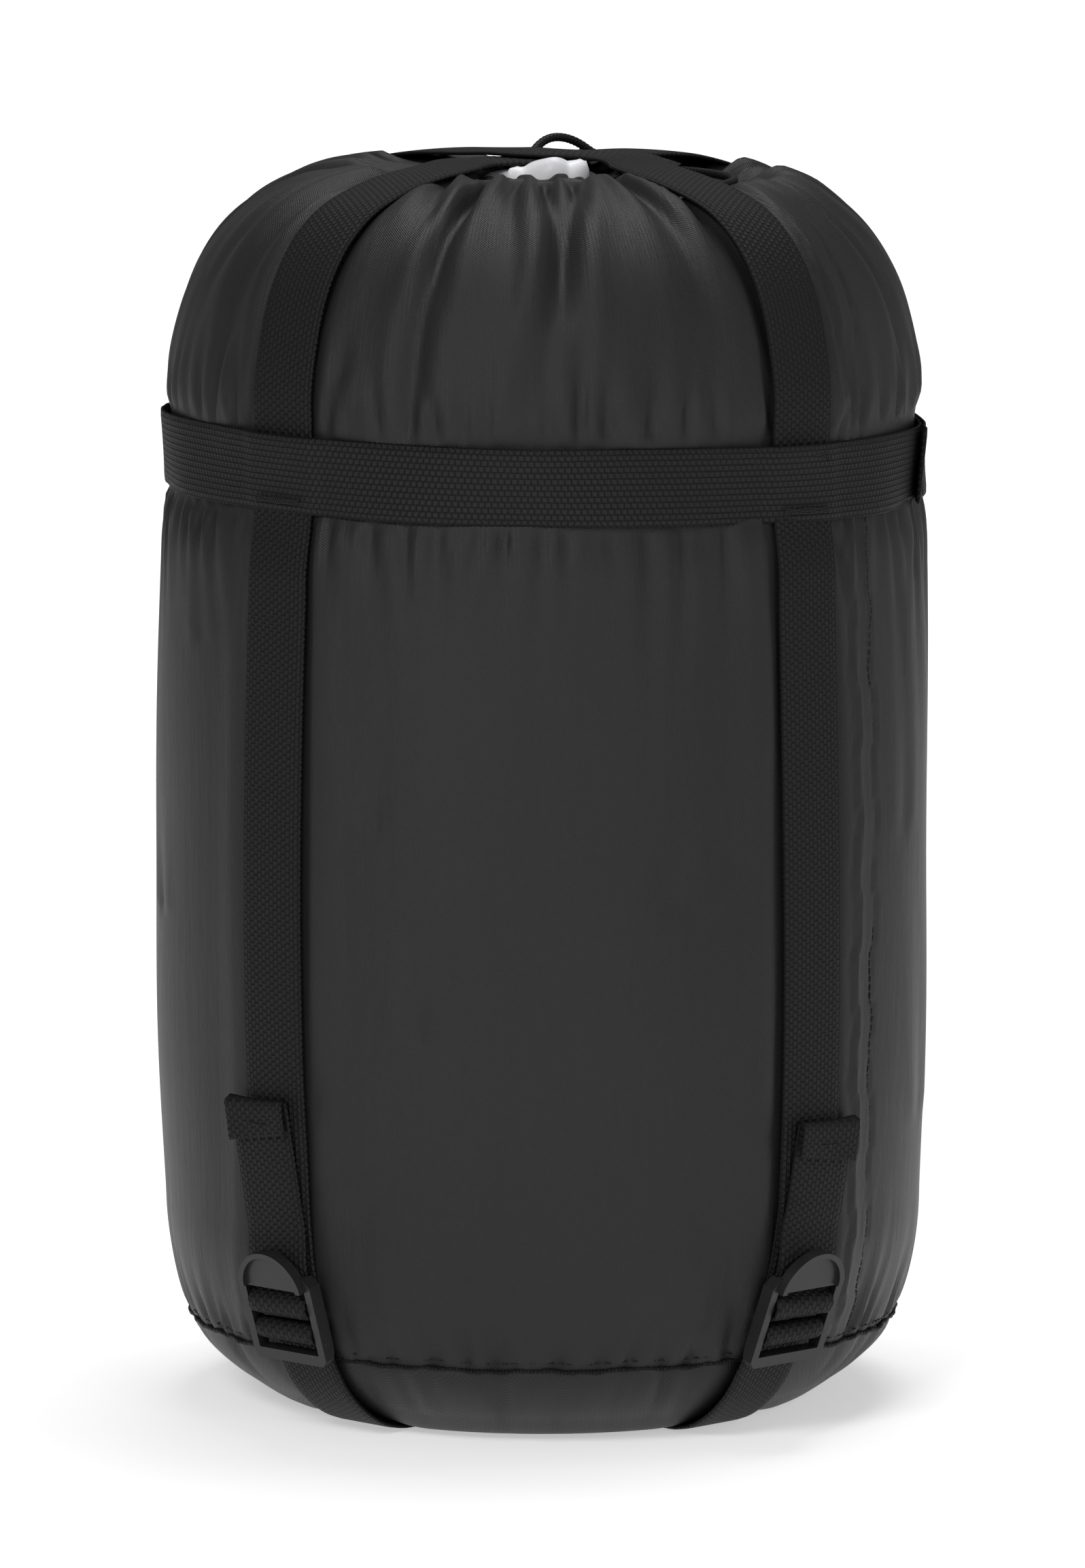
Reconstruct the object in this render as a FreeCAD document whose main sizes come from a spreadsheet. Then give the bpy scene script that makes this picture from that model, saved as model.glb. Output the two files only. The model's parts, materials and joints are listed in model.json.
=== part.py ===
import FreeCAD
import Part
import math
import os
import Sketcher

# A packed compression sack standing on its base. Millimetres, +Z up, front towards -Y.
# The origin is on the floor, under the middle of the base.

os.makedirs("parts", exist_ok=True)
doc = FreeCAD.newDocument("CompressionSack")
size = doc.addObject("Spreadsheet::Sheet", "size")

SIZES = (
    ("sack_radius", 127.0, "widest radius of the stuffed wall"),
    ("wall_arc", 3000.0, "radius of the barrel curve of the wall"),
    ("wall_mid", 180.0, "height of the widest place"),
    ("low_arc", 95.0, "radius of the round above the base seam"),
    ("round_top", 68.0, "height where that round ends"),
    ("seam_height", 28.0, "height of the base seam"),
    ("foot_radius", 78.0, "radius of the part that stands on the floor"),
    ("foot_height", 3.9, "base cloth above the floor, over the crossed straps"),
    ("base_arc", 43.0, "radius of the round under the base seam"),
    ("band_height", 315.0, "height of the middle of the band"),
    ("band_pinch", 4.2, "how far the band draws the wall in"),
    ("crown_top", 402.0, "height of the cloth on top"),
    ("shoulder_radius", 111.0, "radius where the two shoulder curves meet"),
    ("rim_radius", 70.0, "radius where the flat top begins"),
    ("mouth_radius", 26.0, "radius of the gathered hem's middle"),
    ("cloth_thick", 1.0, "cloth, folds taken in"),
    ("web_width", 25.0, "width of the webbing"),
    ("web_thick", 1.6, "thickness of the webbing"),
    ("play", 0.5, "clearance between layers"),
    ("strap_turn", 42.4, "angle of the front straps from straight ahead"),
    ("tail_top", 112.0, "height of the loose ends"),
    ("bar_radius", 2.0, "radius of a buckle's bars"),
    ("bar_pitch", 9.0, "between the two bars of a buckle"),
    ("buckle_lean", 13.0, "lean of a buckle, along the wall behind it"),
    ("frame_thick", 5.0, "thickness of a buckle's frame"),
    ("cord_diameter", 3.0, "diameter of the drawcord"),
    ("lock_turn", -40.0, "direction of the cord lock, from +X"),
    ("lock_out", 42.5, "cord lock's axis, from the middle of the mouth"),
    ("lock_radius", 5.9, "radius of the cord lock's barrel"),
    ("plunger_radius", 4.2, "radius of the plunger"),
    ("plunger_stroke", 4.0, "travel of the plunger"),
)

for row, (alias, number, meaning) in enumerate(SIZES, start=1):
    size.set(f"A{row}", str(number))
    size.setAlias(f"A{row}", alias)
    size.set(f"B{row}", meaning)
doc.recompute()


def v(x, y, z):
    return FreeCAD.Vector(x, y, z)


def value(text):
    """The number that an expression on the sheet comes to."""
    number = size.evalExpression(str(text))
    return float(getattr(number, "Value", number))


# ---------------------------------------------------------------- the shape of the sack

WALL_CENTRE = "(size.sack_radius - size.wall_arc)"
BAND_LOW = "(size.band_height - size.web_width / 2 - 1)"
BAND_HIGH = "(size.band_height + size.web_width / 2 + 1.5)"
PINCH = f"({WALL_CENTRE} + size.wall_arc - size.band_pinch - 2)"
STRAP_IN = "size.play"
STRAP_OUT = "(size.play + size.web_thick)"
TAIL_IN = "(size.play * 1.6 + size.web_thick)"
TAIL_OUT = "(size.play * 1.6 + size.web_thick * 2)"
CORE_IN = "(0 - size.cloth_thick - 0.8 * size.play)"
FLAT_RISE = "size.web_width^2 / 8 / size.sack_radius"
BAND_IN = f"({PINCH} + {STRAP_OUT} + size.play * 0.8 + {FLAT_RISE})"


def wall_at(height, out="0"):
    """Radius of the wall, moved outwards, at a height."""
    return f"({WALL_CENTRE} + sqrt((size.wall_arc + {out})^2 - ({height} - size.wall_mid)^2))"


LOW_CENTRE = f"({wall_at('size.round_top')} - size.low_arc)"


def low_at(height, out="0"):
    """Radius of the round above the base seam, moved outwards, at a height."""
    return f"({LOW_CENTRE} + sqrt((size.low_arc + {out})^2 - (size.round_top - {height})^2))"


def wall_side(start, top, out):
    """Corners and curves up the side, from a height on the low round to under the band."""
    corners = [
        (low_at(start, out), start),
        (wall_at("size.round_top", out), "size.round_top"),
        (wall_at(f"({BAND_LOW} - 10)", out), f"({BAND_LOW} - 10)"),
        (f"({PINCH} + {out})", BAND_LOW),
        (f"({PINCH} + {out})", top),
    ]
    return corners, {0: f"size.low_arc + {out}", 1: f"size.wall_arc + {out}"}


def crown_side(start, out):
    """Corners and curves from under the band, over the shoulder, to the flat top."""
    corners = [
        (f"({PINCH} + {out})", start),
        (f"({PINCH} + {out})", BAND_HIGH),
        (wall_at(f"({BAND_HIGH} + 10)", out), f"({BAND_HIGH} + 10)"),
        (f"(size.shoulder_radius + 0.8 * {out})", f"(size.crown_top - 25 + 0.6 * {out})"),
        (f"(size.rim_radius + 0.12 * {out})", f"(size.crown_top + 0.99 * {out})"),
    ]
    return corners, {2: f"75 + {out}", 3: f"55 + {out}"}


# ---------------------------------------------------------------- sketches and bodies


def new_body(name):
    body = doc.addObject("PartDesign::Body", name)
    body.Label = name
    return body


def origin_plane(body, role):
    return next(part for part in body.Origin.OriginFeatures if part.Role == role)


def new_sketch(body, name, role, forward="0"):
    """A sketch on one of the body's own planes, moved along the plane's normal."""
    sketch = body.newObject("Sketcher::SketchObject", name)
    sketch.AttachmentSupport = [(origin_plane(body, role), "")]
    sketch.MapMode = "FlatFace"
    sketch.setExpression(".AttachmentOffset.Base.z", forward)
    return sketch


def curve_between(start, end, radius, side):
    """The arc from start to end whose centre is on the left (side 1) or the right (-1)."""
    half = (end - start) * 0.5
    across = v(-half.y, half.x, 0).normalize()
    centre = start + half + across * (side * math.sqrt(radius**2 - half.Length**2))
    turns = [math.atan2(p.y - centre.y, p.x - centre.x) for p in (start, end)]
    circle = Part.Circle(centre, v(0, 0, 1), radius)
    return Part.ArcOfCircle(circle, *(turns if side > 0 else reversed(turns)))


def draw(sketch, corners, curves=None):
    """A closed outline whose corners and radii follow the sheet.

    curves gives the radius of the edge that starts at a corner; the arc's centre is on the
    left of the way round, or on the right where the radius is given with side -1.
    """
    curves = {i: c if isinstance(c, tuple) else (c, 1) for i, c in (curves or {}).items()}
    points = [v(value(x), value(y), 0) for x, y in corners]
    first = sketch.GeometryCount
    ends = []
    for i, start in enumerate(points):
        end = points[(i + 1) % len(points)]
        if i in curves:
            radius, side = curves[i]
            sketch.addGeometry(curve_between(start, end, value(radius), side))
            ends.append((1, 2) if side > 0 else (2, 1))
        else:
            sketch.addGeometry(Part.LineSegment(start, end))
            ends.append((1, 2))
    for i in range(len(points)):
        j = (i + 1) % len(points)
        join = Sketcher.Constraint("Coincident", first + i, ends[i][1], first + j, ends[j][0])
        sketch.addConstraint(join)
    for i, (x, y) in enumerate(corners):
        place = (first + i, ends[i][0])
        for kind, text, axis in (("DistanceX", x, -2), ("DistanceY", y, -1)):
            if str(text) == "0":
                sketch.addConstraint(Sketcher.Constraint("PointOnObject", *place, axis))
                continue
            number = Sketcher.Constraint(kind, -1, 1, *place, value(text))
            sketch.setExpression(f"Constraints[{sketch.addConstraint(number)}]", str(text))
    for i, (radius, side) in curves.items():
        number = Sketcher.Constraint("Radius", first + i, value(radius))
        sketch.setExpression(f"Constraints[{sketch.addConstraint(number)}]", radius)


def ring_hole(sketch, x, y, radius):
    """A circle in a sketch, placed and sized by the sheet."""
    i = sketch.GeometryCount
    sketch.addGeometry(Part.Circle(v(value(x), value(y), 0), v(0, 0, 1), value(radius)))
    for kind, text, axis in (("DistanceX", x, -2), ("DistanceY", y, -1)):
        if str(text) == "0":
            sketch.addConstraint(Sketcher.Constraint("PointOnObject", i, 3, axis))
            continue
        number = Sketcher.Constraint(kind, -1, 1, i, 3, value(text))
        sketch.setExpression(f"Constraints[{sketch.addConstraint(number)}]", str(text))
    number = sketch.addConstraint(Sketcher.Constraint("Radius", i, value(radius)))
    sketch.setExpression(f"Constraints[{number}]", radius)


def turned(name, corners, curves=None, hole=None):
    """A body made by turning an outline about the sack's axis."""
    body = new_body(name)
    sketch = new_sketch(body, f"{name}_outline", "XZ_Plane")
    draw(sketch, corners, curves)
    if hole:
        ring_hole(sketch, *hole)
    turn = body.newObject("PartDesign::Revolution", f"{name}_turn")
    turn.Profile = sketch
    turn.ReferenceAxis = (sketch, ["V_Axis"])
    turn.Angle = 360
    return body


def between(outer, inner):
    """The closed outline between two chains of corners and curves that run the same way."""
    corners = outer[0] + list(reversed(inner[0]))
    curves = dict(outer[1])
    last = len(corners) - 1
    for i, radius in inner[1].items():
        curves[last - i - 1] = (radius, -1)
    return corners, curves


def pad(body, sketch, length, both_ways=True):
    made = body.newObject("PartDesign::Pad", sketch.Name.replace("outline", "pad"))
    made.Profile = sketch
    made.Midplane = both_ways
    made.setExpression("Length", length)
    return made


def pocket(body, sketch, length):
    """A cut half each way from the sketch's plane."""
    made = body.newObject("PartDesign::Pocket", sketch.Name.replace("outline", "cut"))
    made.Profile = sketch
    made.Midplane = True
    made.setExpression("Length", length)
    return made


def mirrored(body, name, features, role="YZ_Plane"):
    made = body.newObject("PartDesign::Mirrored", name)
    made.Originals = features
    made.MirrorPlane = (origin_plane(body, role), [""])
    body.Tip = made


def face_out(body, turn):
    """Turn a body so that its +X looks out at an angle from straight ahead."""
    body.Placement.Rotation = FreeCAD.Rotation(v(0, 0, 1), value(f"{turn} - 90"))
    body.setExpression(".Placement.Rotation.Angle", f"({turn} - 90) * 1 deg")


# ---------------------------------------------------------------- cloth and contents


def make_base_panel():
    def side(out):
        corners = [
            ("0", f"(size.foot_height - {out})"),
            ("size.foot_radius", f"(size.foot_height - {out})"),
            (low_at("(size.seam_height - 1.2)", f"({out} - 0.4)"), "(size.seam_height - 1.2)"),
        ]
        return corners, {1: f"size.base_arc + {out}"}

    turned("base_panel", *between(side("0"), side("(0 - size.cloth_thick)")))


def make_base_seam():
    body = new_body("base_seam")
    sketch = new_sketch(body, "base_seam_outline", "XZ_Plane")
    ring_hole(sketch, low_at("size.seam_height", "(0 - 0.2)"), "size.seam_height", "1")
    turn = body.newObject("PartDesign::Revolution", "base_seam_turn")
    turn.Profile = sketch
    turn.ReferenceAxis = (sketch, ["V_Axis"])
    turn.Angle = 360


def make_wall():
    start = "(size.seam_height + 1.2)"
    top = "(size.band_height - 0.3)"
    outer = wall_side(start, top, "0")
    inner = wall_side(start, top, "(0 - size.cloth_thick)")
    turned("wall_fabric", *between(outer, inner))


def make_lower_contents():
    corners, curves = wall_side("size.seam_height", "(size.band_height - 0.9)", CORE_IN)
    foot = f"(size.foot_height - {CORE_IN})"
    corners = [("0", foot), ("(size.foot_radius - 1)", foot)] + corners
    curves = {i + 2: radius for i, radius in curves.items()}
    curves[1] = f"size.base_arc + {CORE_IN}"
    turned("contents_body", corners + [("0", "(size.band_height - 0.9)")], curves)


def make_crown():
    """The cloth above the band: over the shoulder, and down into the hollow round the hem."""

    def side(out):
        corners, curves = crown_side("(size.band_height + 0.3)", out)
        floor = f"(size.crown_top - 8 + {out})"
        hem = "(size.mouth_radius + 5.6)"
        return corners + [("(size.rim_radius - 14)", floor), (hem, floor)], curves

    turned("crown_fabric", *between(side("0"), side("(0 - size.cloth_thick)")))


def make_mouth_hem():
    """The gathered hem: a tunnel for the cord, open where the cord comes out."""
    low = "(size.crown_top - 6.6)"
    high = "(size.crown_top + 2.4)"
    inside = "(size.mouth_radius - 4.2)"
    outside = "(size.mouth_radius + 4.2)"
    corners = [
        (inside, f"({low} + 2)"),
        ("(size.mouth_radius - 2.2)", low),
        ("(size.mouth_radius + 2.2)", low),
        (outside, f"({low} + 2)"),
        (outside, f"({high} - 2.4)"),
        ("(size.mouth_radius + 1.8)", high),
        ("(size.mouth_radius - 1.8)", high),
        (inside, f"({high} - 2.4)"),
    ]
    bore = ("size.mouth_radius", "(size.crown_top - 1.7)", "(size.cord_diameter / 2 + 0.9)")
    body = turned("mouth_hem", corners, None, bore)
    gap = new_sketch(body, "hem_gap_outline", "XY_Plane", "size.crown_top")
    draw(gap, [("0", "0"), ("60", "24.5"), ("60", "0")])
    cut = pocket(body, gap, "30")
    mirrored(body, "hem_gap_both", [cut], "XZ_Plane")
    body.Placement.Rotation = FreeCAD.Rotation(v(0, 0, 1), value("size.lock_turn"))
    body.setExpression(".Placement.Rotation.Angle", "size.lock_turn * 1 deg")


def make_upper_contents():
    """The top of what is packed, swelling up through the mouth."""
    corners, curves = crown_side("(size.band_height + 0.9)", CORE_IN)
    floor = f"(size.crown_top - 8 + {CORE_IN})"
    neck = "(size.mouth_radius - 5.2)"
    corners = [("0", "(size.band_height + 0.9)")] + corners
    curves = {i + 1: radius for i, radius in curves.items()}
    corners.append(("(size.rim_radius - 14)", floor))
    corners.append((neck, floor))
    corners.append((neck, "(size.crown_top - 1)"))
    curves[len(corners) - 1] = "70"
    corners.append(("4", "(size.crown_top + 4.2)"))
    corners.append(("0", "(size.crown_top + 4.2)"))
    turned("contents_crown", corners, curves)


def make_side_seam():
    """The felled seam down the wall, beside the front right strap."""
    start = "(size.seam_height + 8)"
    top = "(size.band_height - 20)"
    low, high = "0.35", "1.15"

    def side(out):
        corners = [
            (low_at(start, out), start),
            (wall_at("size.round_top", out), "size.round_top"),
            (wall_at(top, out), top),
        ]
        return corners, {0: f"size.low_arc + {out}", 1: f"size.wall_arc + {out}"}

    body = new_body("side_seam")
    sketch = new_sketch(body, "side_seam_outline", "XZ_Plane")
    draw(sketch, *between(side(high), side(low)))
    turn = body.newObject("PartDesign::Revolution", "side_seam_turn")
    turn.Profile = sketch
    turn.ReferenceAxis = (sketch, ["V_Axis"])
    turn.setExpression("Angle", "5")
    face_out(body, "(size.strap_turn + 8)")


# ---------------------------------------------------------------- webbing

CORNERS = (
    ("front_left", "(0 - size.strap_turn)"),
    ("front_right", "size.strap_turn"),
    ("back_left", "(180 + size.strap_turn)"),
    ("back_right", "(180 - size.strap_turn)"),
)
HINGE_OUT = "(size.web_thick + size.bar_radius + 1.4)"
LEG_START = "(size.round_top - 16)"


def make_leg_strap(corner, turn):
    name = f"leg_strap_{corner}"
    body = new_body(name)
    sketch = new_sketch(body, f"{name}_outline", "XZ_Plane")
    top = "(size.band_height - 0.3)"
    draw(sketch, *between(wall_side(LEG_START, top, STRAP_OUT), wall_side(LEG_START, top, STRAP_IN)))
    pad(body, sketch, "size.web_width")
    face_out(body, turn)


def make_tail(corner, turn):
    """A loose end: it comes out from under the buckle's tab and is folded over at its top."""
    name = f"tail_{corner}"
    body = new_body(name)

    def side(bottom, top, out):
        corners = [(wall_at(bottom, out), bottom), (wall_at(top, out), top)]
        return corners, {0: f"size.wall_arc + {out}"}

    def low(out):
        return [(low_at(LEG_START, out), LEG_START)]

    inner = side("size.round_top", "size.tail_top", TAIL_IN)
    outer = side("size.round_top", "size.tail_top", TAIL_OUT)
    chains = []
    for out, (corners, curves) in ((TAIL_OUT, outer), (TAIL_IN, inner)):
        chains.append((low(out) + corners, {0: f"size.low_arc + {out}", 1: curves[0]}))
    sketch = new_sketch(body, f"{name}_outline", "XZ_Plane")
    draw(sketch, *between(*chains))
    pad(body, sketch, "size.web_width")
    fold = new_sketch(body, f"{name}_fold_outline", "XZ_Plane")
    bottom = "(size.tail_top - 16)"
    folded = f"({TAIL_OUT} + size.web_thick)"
    flat = f"({TAIL_OUT} - 0.2)"
    draw(fold, *between(side(bottom, "size.tail_top", folded), side(bottom, "size.tail_top", flat)))
    pad(body, fold, "size.web_width")
    face_out(body, turn)


def hinge_place():
    """Radius and height of the bar that a buckle turns on."""
    out = f"(size.low_arc + {HINGE_OUT})"
    radius = f"({LOW_CENTRE} + {out} * cos(size.buckle_lean * 1 deg) - 8 * sin(size.buckle_lean * 1 deg))"
    height = f"(size.round_top - {out} * sin(size.buckle_lean * 1 deg) - 8 * cos(size.buckle_lean * 1 deg))"
    return radius, height


def make_bottom_strap(name, turn, lift):
    """A strap under the base, with a sewn loop at each end round a buckle's lower bar."""
    body = new_body(name)
    radius, height = hinge_place()
    top = f"({height} + 1.5)"

    def side(out, above):
        over = f"({lift} + {above})"
        return [
            ("0", over),
            ("(size.web_width / 2 + 1.5)", over),
            ("(size.web_width / 2 + 9)", above),
            ("(size.foot_radius - 2)", above),
            (low_at("(size.seam_height - 2)", f"({out} + 0.8)"), "(size.seam_height - 2)"),
            (low_at(top, out), top),
        ], {3: f"size.base_arc + 2.4 + {out}", 4: f"size.low_arc + {out}"}

    sketch = new_sketch(body, f"{name}_outline", "XZ_Plane")
    draw(sketch, *between(side(STRAP_OUT, "0"), side(STRAP_IN, "size.web_thick")))
    run = pad(body, sketch, "size.web_width")
    loop = new_sketch(body, f"{name}_loop_outline", "XZ_Plane")
    ring_hole(loop, radius, height, "(size.bar_radius + 0.3 + size.web_thick)")
    ring_hole(loop, radius, height, "(size.bar_radius + 0.3)")
    ring = pad(body, loop, "size.web_width")
    mirrored(body, f"{name}_both", [run, ring])
    face_out(body, turn)


def make_cross_strap(name, turn, lift):
    """A strap over the top, from under the band on one side to under it on the other."""
    body = new_body(name)

    def side(out, above):
        corners, curves = crown_side("(size.band_height + 0.3)", out)
        curves = dict(curves)
        top = f"(size.crown_top + 5 + {above} + {lift})"
        corners += [
            ("52", f"(size.crown_top + 4.6 + {above} + {lift} * 0.3)"),
            ("(size.web_width / 2 + 2.5)", top),
            ("0", top),
        ]
        return corners, curves

    sketch = new_sketch(body, f"{name}_outline", "XZ_Plane")
    draw(sketch, *between(side(STRAP_OUT, "size.web_thick"), side(STRAP_IN, "0")))
    run = pad(body, sketch, "size.web_width")
    mirrored(body, f"{name}_both", [run])
    face_out(body, turn)


def make_band():
    """The webbing band round the top of the wall, over the straps."""
    low = "(size.band_height - size.web_width / 2)"
    high = "(size.band_height + size.web_width / 2)"
    outside = f"({BAND_IN} + size.web_thick)"
    turned("band", [(BAND_IN, low), (outside, low), (outside, high), (BAND_IN, high)])


def make_band_lap():
    """The band's lapped end, sewn down over itself at the right."""
    low = "(size.band_height - size.web_width / 2)"
    high = "(size.band_height + size.web_width / 2)"
    inside = f"({BAND_IN} + size.play * 0.6 + size.web_thick)"
    outside = f"({BAND_IN} + size.play * 0.6 + size.web_thick * 2)"
    body = new_body("band_lap")
    sketch = new_sketch(body, "band_lap_outline", "XZ_Plane")
    draw(sketch, [(inside, low), (outside, low), (outside, high), (inside, high)])
    turn = body.newObject("PartDesign::Revolution", "band_lap_turn")
    turn.Profile = sketch
    turn.ReferenceAxis = (sketch, ["V_Axis"])
    turn.setExpression("Angle", "24")
    face_out(body, "78")


def make_bar_tacks():
    """Blocks of stitching that hold the band to the four straps, one feature for them all."""
    tack = doc.addObject("Part::Box", "tack")
    tack.Length = 0.8
    tack.setExpression("Width", "size.web_width * 0.8")
    tack.Height = 2.4
    out = f"{BAND_IN} + size.web_thick + 0.3"
    tack.Placement.Base = v(value(out), -value("size.web_width") * 0.4, value("size.band_height") + 6)
    tack.setExpression(".Placement.Base.x", out)
    tack.setExpression(".Placement.Base.y", "0 - size.web_width * 0.4")
    tack.setExpression(".Placement.Base.z", "size.band_height + 6")
    doc.recompute()
    group = doc.addObject("Part::Feature", "bar_tacks")
    group.Label = "bar_tacks"
    blocks = []
    for corner, turn in CORNERS:
        for drop in (0, 14.4):
            block = tack.Shape.copy()
            block.translate(v(0, 0, -drop))
            block.rotate(v(0, 0, 0), v(0, 0, 1), value(f"{turn} - 90"))
            blocks.append(block)
    group.Shape = Part.makeCompound(blocks)


# ---------------------------------------------------------------- buckles


def place_buckle_part(body, turn):
    """Stand a part made about a buckle's lower bar on its corner of the sack."""
    radius, height = hinge_place()
    angle = math.radians(value(turn))
    r = value(radius)
    lean = FreeCAD.Rotation(v(1, 0, 0), value("size.buckle_lean"))
    body.Placement = FreeCAD.Placement(
        v(r * math.sin(angle), -r * math.cos(angle), value(height)),
        FreeCAD.Rotation(v(0, 0, 1), value(turn)).multiply(lean),
    )
    body.setExpression(".Placement.Base.x", f"{radius} * sin({turn} * 1 deg)")
    body.setExpression(".Placement.Base.y", f"0 - {radius} * cos({turn} * 1 deg)")
    body.setExpression(".Placement.Base.z", height)


def make_buckle(corner, turn):
    """A ladder-lock buckle: frame, two bars and a thumb tab. Outwards is -Y, up is +Z."""
    name = f"buckle_{corner}"
    body = new_body(name)
    half = "(size.web_width / 2 + 3.4)"
    inner = "(size.web_width / 2 + 0.6)"
    frame = new_sketch(body, f"{name}_frame_outline", "XZ_Plane")
    draw(
        frame,
        [
            (f"(0 - {half})", "0 - 8"),
            (f"(0 - {half} + 2)", "0 - 10"),
            (f"({half} - 2)", "0 - 10"),
            (half, "0 - 8"),
            (half, "17"),
            (f"({half} - 3)", "20"),
            (f"(0 - {half} + 3)", "20"),
            (f"(0 - {half})", "17"),
        ],
    )
    block = pad(body, frame, "size.frame_thick")
    window = new_sketch(body, f"{name}_window_outline", "XZ_Plane")
    left = f"(0 - {inner})"
    draw(window, [(left, "0 - 6.4"), (inner, "0 - 6.4"), (inner, "15.4"), (left, "15.4")])
    pocket(body, window, "size.frame_thick + 4")
    under = new_sketch(body, f"{name}_under_outline", "XZ_Plane", "0 - 4.7")
    draw(under, [(left, "10"), (inner, "10"), (inner, "30"), (left, "30")])
    pocket(body, under, "8.8")
    heel = new_sketch(body, f"{name}_heel_outline", "YZ_Plane")
    draw(heel, [("0.6", "0 - 12"), ("6", "0 - 12"), ("6", "0 - 4"), ("2.6", "0 - 4")])
    pocket(body, heel, "60")
    bars = new_sketch(body, f"{name}_bars_outline", "YZ_Plane")
    ring_hole(bars, "0", "0", "size.bar_radius")
    ring_hole(bars, "0", "size.bar_pitch", "size.bar_radius")
    pad(body, bars, f"{inner} * 2 + 1")
    tab = new_sketch(body, f"{name}_tab_outline", "XZ_Plane", "0.9")
    reach = f"({half} - 2.6)"
    foot = "15.4"
    draw(tab, [(f"(0 - {reach})", foot), (reach, foot), (reach, "17"), (f"(0 - {reach})", "17")],
         {2: f"{reach} * 1.02"})
    pad(body, tab, "2.4", both_ways=False)
    rim = new_sketch(body, f"{name}_rim_outline", "XZ_Plane", "0.9")
    small = f"({reach} - 2)"
    draw(
        rim,
        [
            (reach, foot),
            (reach, "17"),
            (f"(0 - {reach})", "17"),
            (f"(0 - {reach})", foot),
            (f"(0 - {small})", foot),
            (f"(0 - {small})", "17"),
            (small, "17"),
            (small, foot),
        ],
        {1: f"{reach} * 1.02", 5: (f"{small} * 1.02", -1)},
    )
    pad(body, rim, "4", both_ways=False)
    place_buckle_part(body, turn)


def make_wrap(corner, turn):
    """The strap where it goes round a buckle's upper bar."""
    name = f"strap_wrap_{corner}"
    body = new_body(name)
    sketch = new_sketch(body, f"{name}_outline", "YZ_Plane")
    ring_hole(sketch, "0", "size.bar_pitch", "(size.bar_radius + 0.3 + size.web_thick)")
    ring_hole(sketch, "0", "size.bar_pitch", "(size.bar_radius + 0.3)")
    pad(body, sketch, "size.web_width")
    place_buckle_part(body, turn)


# ---------------------------------------------------------------- drawcord and its lock


def cord_solid(points, diameter):
    """A round cord along straight runs joined by arcs; also prints how it bends."""
    radii = []
    edges = []
    at = points[0]
    for before, corner, after in zip(points, points[1:], points[2:]):
        arriving = (corner - before).normalize()
        leaving = (after - corner).normalize()
        half = arriving.getAngle(leaving) / 2
        trim = 0.45 * min((corner - before).Length, (after - corner).Length)
        radius = trim / math.tan(half)
        radii.append(round(radius, 1))
        inward = (leaving - arriving).normalize()
        middle = corner + inward * (radius / math.cos(half) - radius)
        start, end = corner - arriving * trim, corner + leaving * trim
        edges.append(Part.makeLine(at, start))
        edges.append(Part.Arc(start, middle, end).toShape())
        at = end
    edges.append(Part.makeLine(at, points[-1]))
    path = Part.Wire(edges)
    across = Part.Circle(points[0], points[1] - points[0], diameter / 2).toShape()
    solid = path.makePipeShell([Part.Wire(across)], True, True)
    even = math.pi * diameter**2 / 4 * path.Length
    print("cord: length", round(path.Length, 1), "radii", radii)
    print("cord: volume", round(solid.Volume, 1), "even", round(even, 1))
    return solid


def polar(degrees, radius, height):
    angle = math.radians(degrees)
    return v(radius * math.cos(angle), radius * math.sin(angle), height)


def cord_points():
    """Where the drawcord runs: a standing bight, the lock, round the hem, the lock, an end.

    In the frame of the mouth: +X is towards the cord lock, and the hem is about the origin.
    """
    radius = value("size.mouth_radius")
    top = value("size.crown_top")
    level = value("size.crown_top - 1.7")
    apart = value("size.cord_diameter") / 2 + 0.3
    bight = (
        (148, radius - 7.0, 2.4),
        (138.4, radius - 0.5, 6.0),
        (126.5, radius + 5.5, 10.8),
        (114.8, radius + 12.5, 9.6),
        (105.6, radius + 19.2, 2.9),
        (91.5, radius + 24.0, -0.4),
        (75, radius + 29.5, -0.4),
        (58, radius + 34.0, -0.6),
        (42, radius + 37.0, -0.6),
        (26, radius + 37.5, -0.6),
        (9, radius + 36.0, -1.2),
    )
    points = [polar(turn, out, top + up) for turn, out, up in bight]
    near = [
        v(radius + 29.0, apart, level),
        v(radius + 9.2, apart, level),
        v(radius + 0.2, apart + 4.6, level),
    ]
    steps = 14
    first = math.degrees(math.asin((apart + 11.5) / radius))
    step = (360 - 2 * first) / (steps - 1)
    outer = radius / math.cos(math.radians(step / 2)) * 0.996
    ring = [polar(first + i * step, outer, level) for i in range(steps)]
    back = [v(p.x, -p.y, p.z) for p in reversed(near)]
    return points + near + ring + back


def make_drawcord():
    cord = doc.addObject("Part::Feature", "drawcord")
    cord.Label = "drawcord"
    cord.Shape = cord_solid(cord_points(), value("size.cord_diameter"))
    cord.Placement.Rotation = FreeCAD.Rotation(v(0, 0, 1), value("size.lock_turn"))


def make_cord_knot():
    """The overhand knot on the cord's free end, as one lump."""
    knot = doc.addObject("Part::Feature", "cord_knot")
    knot.Label = "cord_knot"
    back, end = cord_points()[-2:]
    along = (end - back).normalize()
    stretch = FreeCAD.Matrix()
    stretch.scale(1, 1, 1.35)
    knot.Shape = Part.makeSphere(value("size.cord_diameter")).transformGeometry(stretch)
    lying = FreeCAD.Placement(
        end + along * (value("size.cord_diameter") * 1.35 + 0.1),
        FreeCAD.Rotation(v(0, 0, 1), along),
    )
    turn = FreeCAD.Placement(v(0, 0, 0), FreeCAD.Rotation(v(0, 0, 1), value("size.lock_turn")))
    knot.Placement = turn.multiply(lying)


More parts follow.
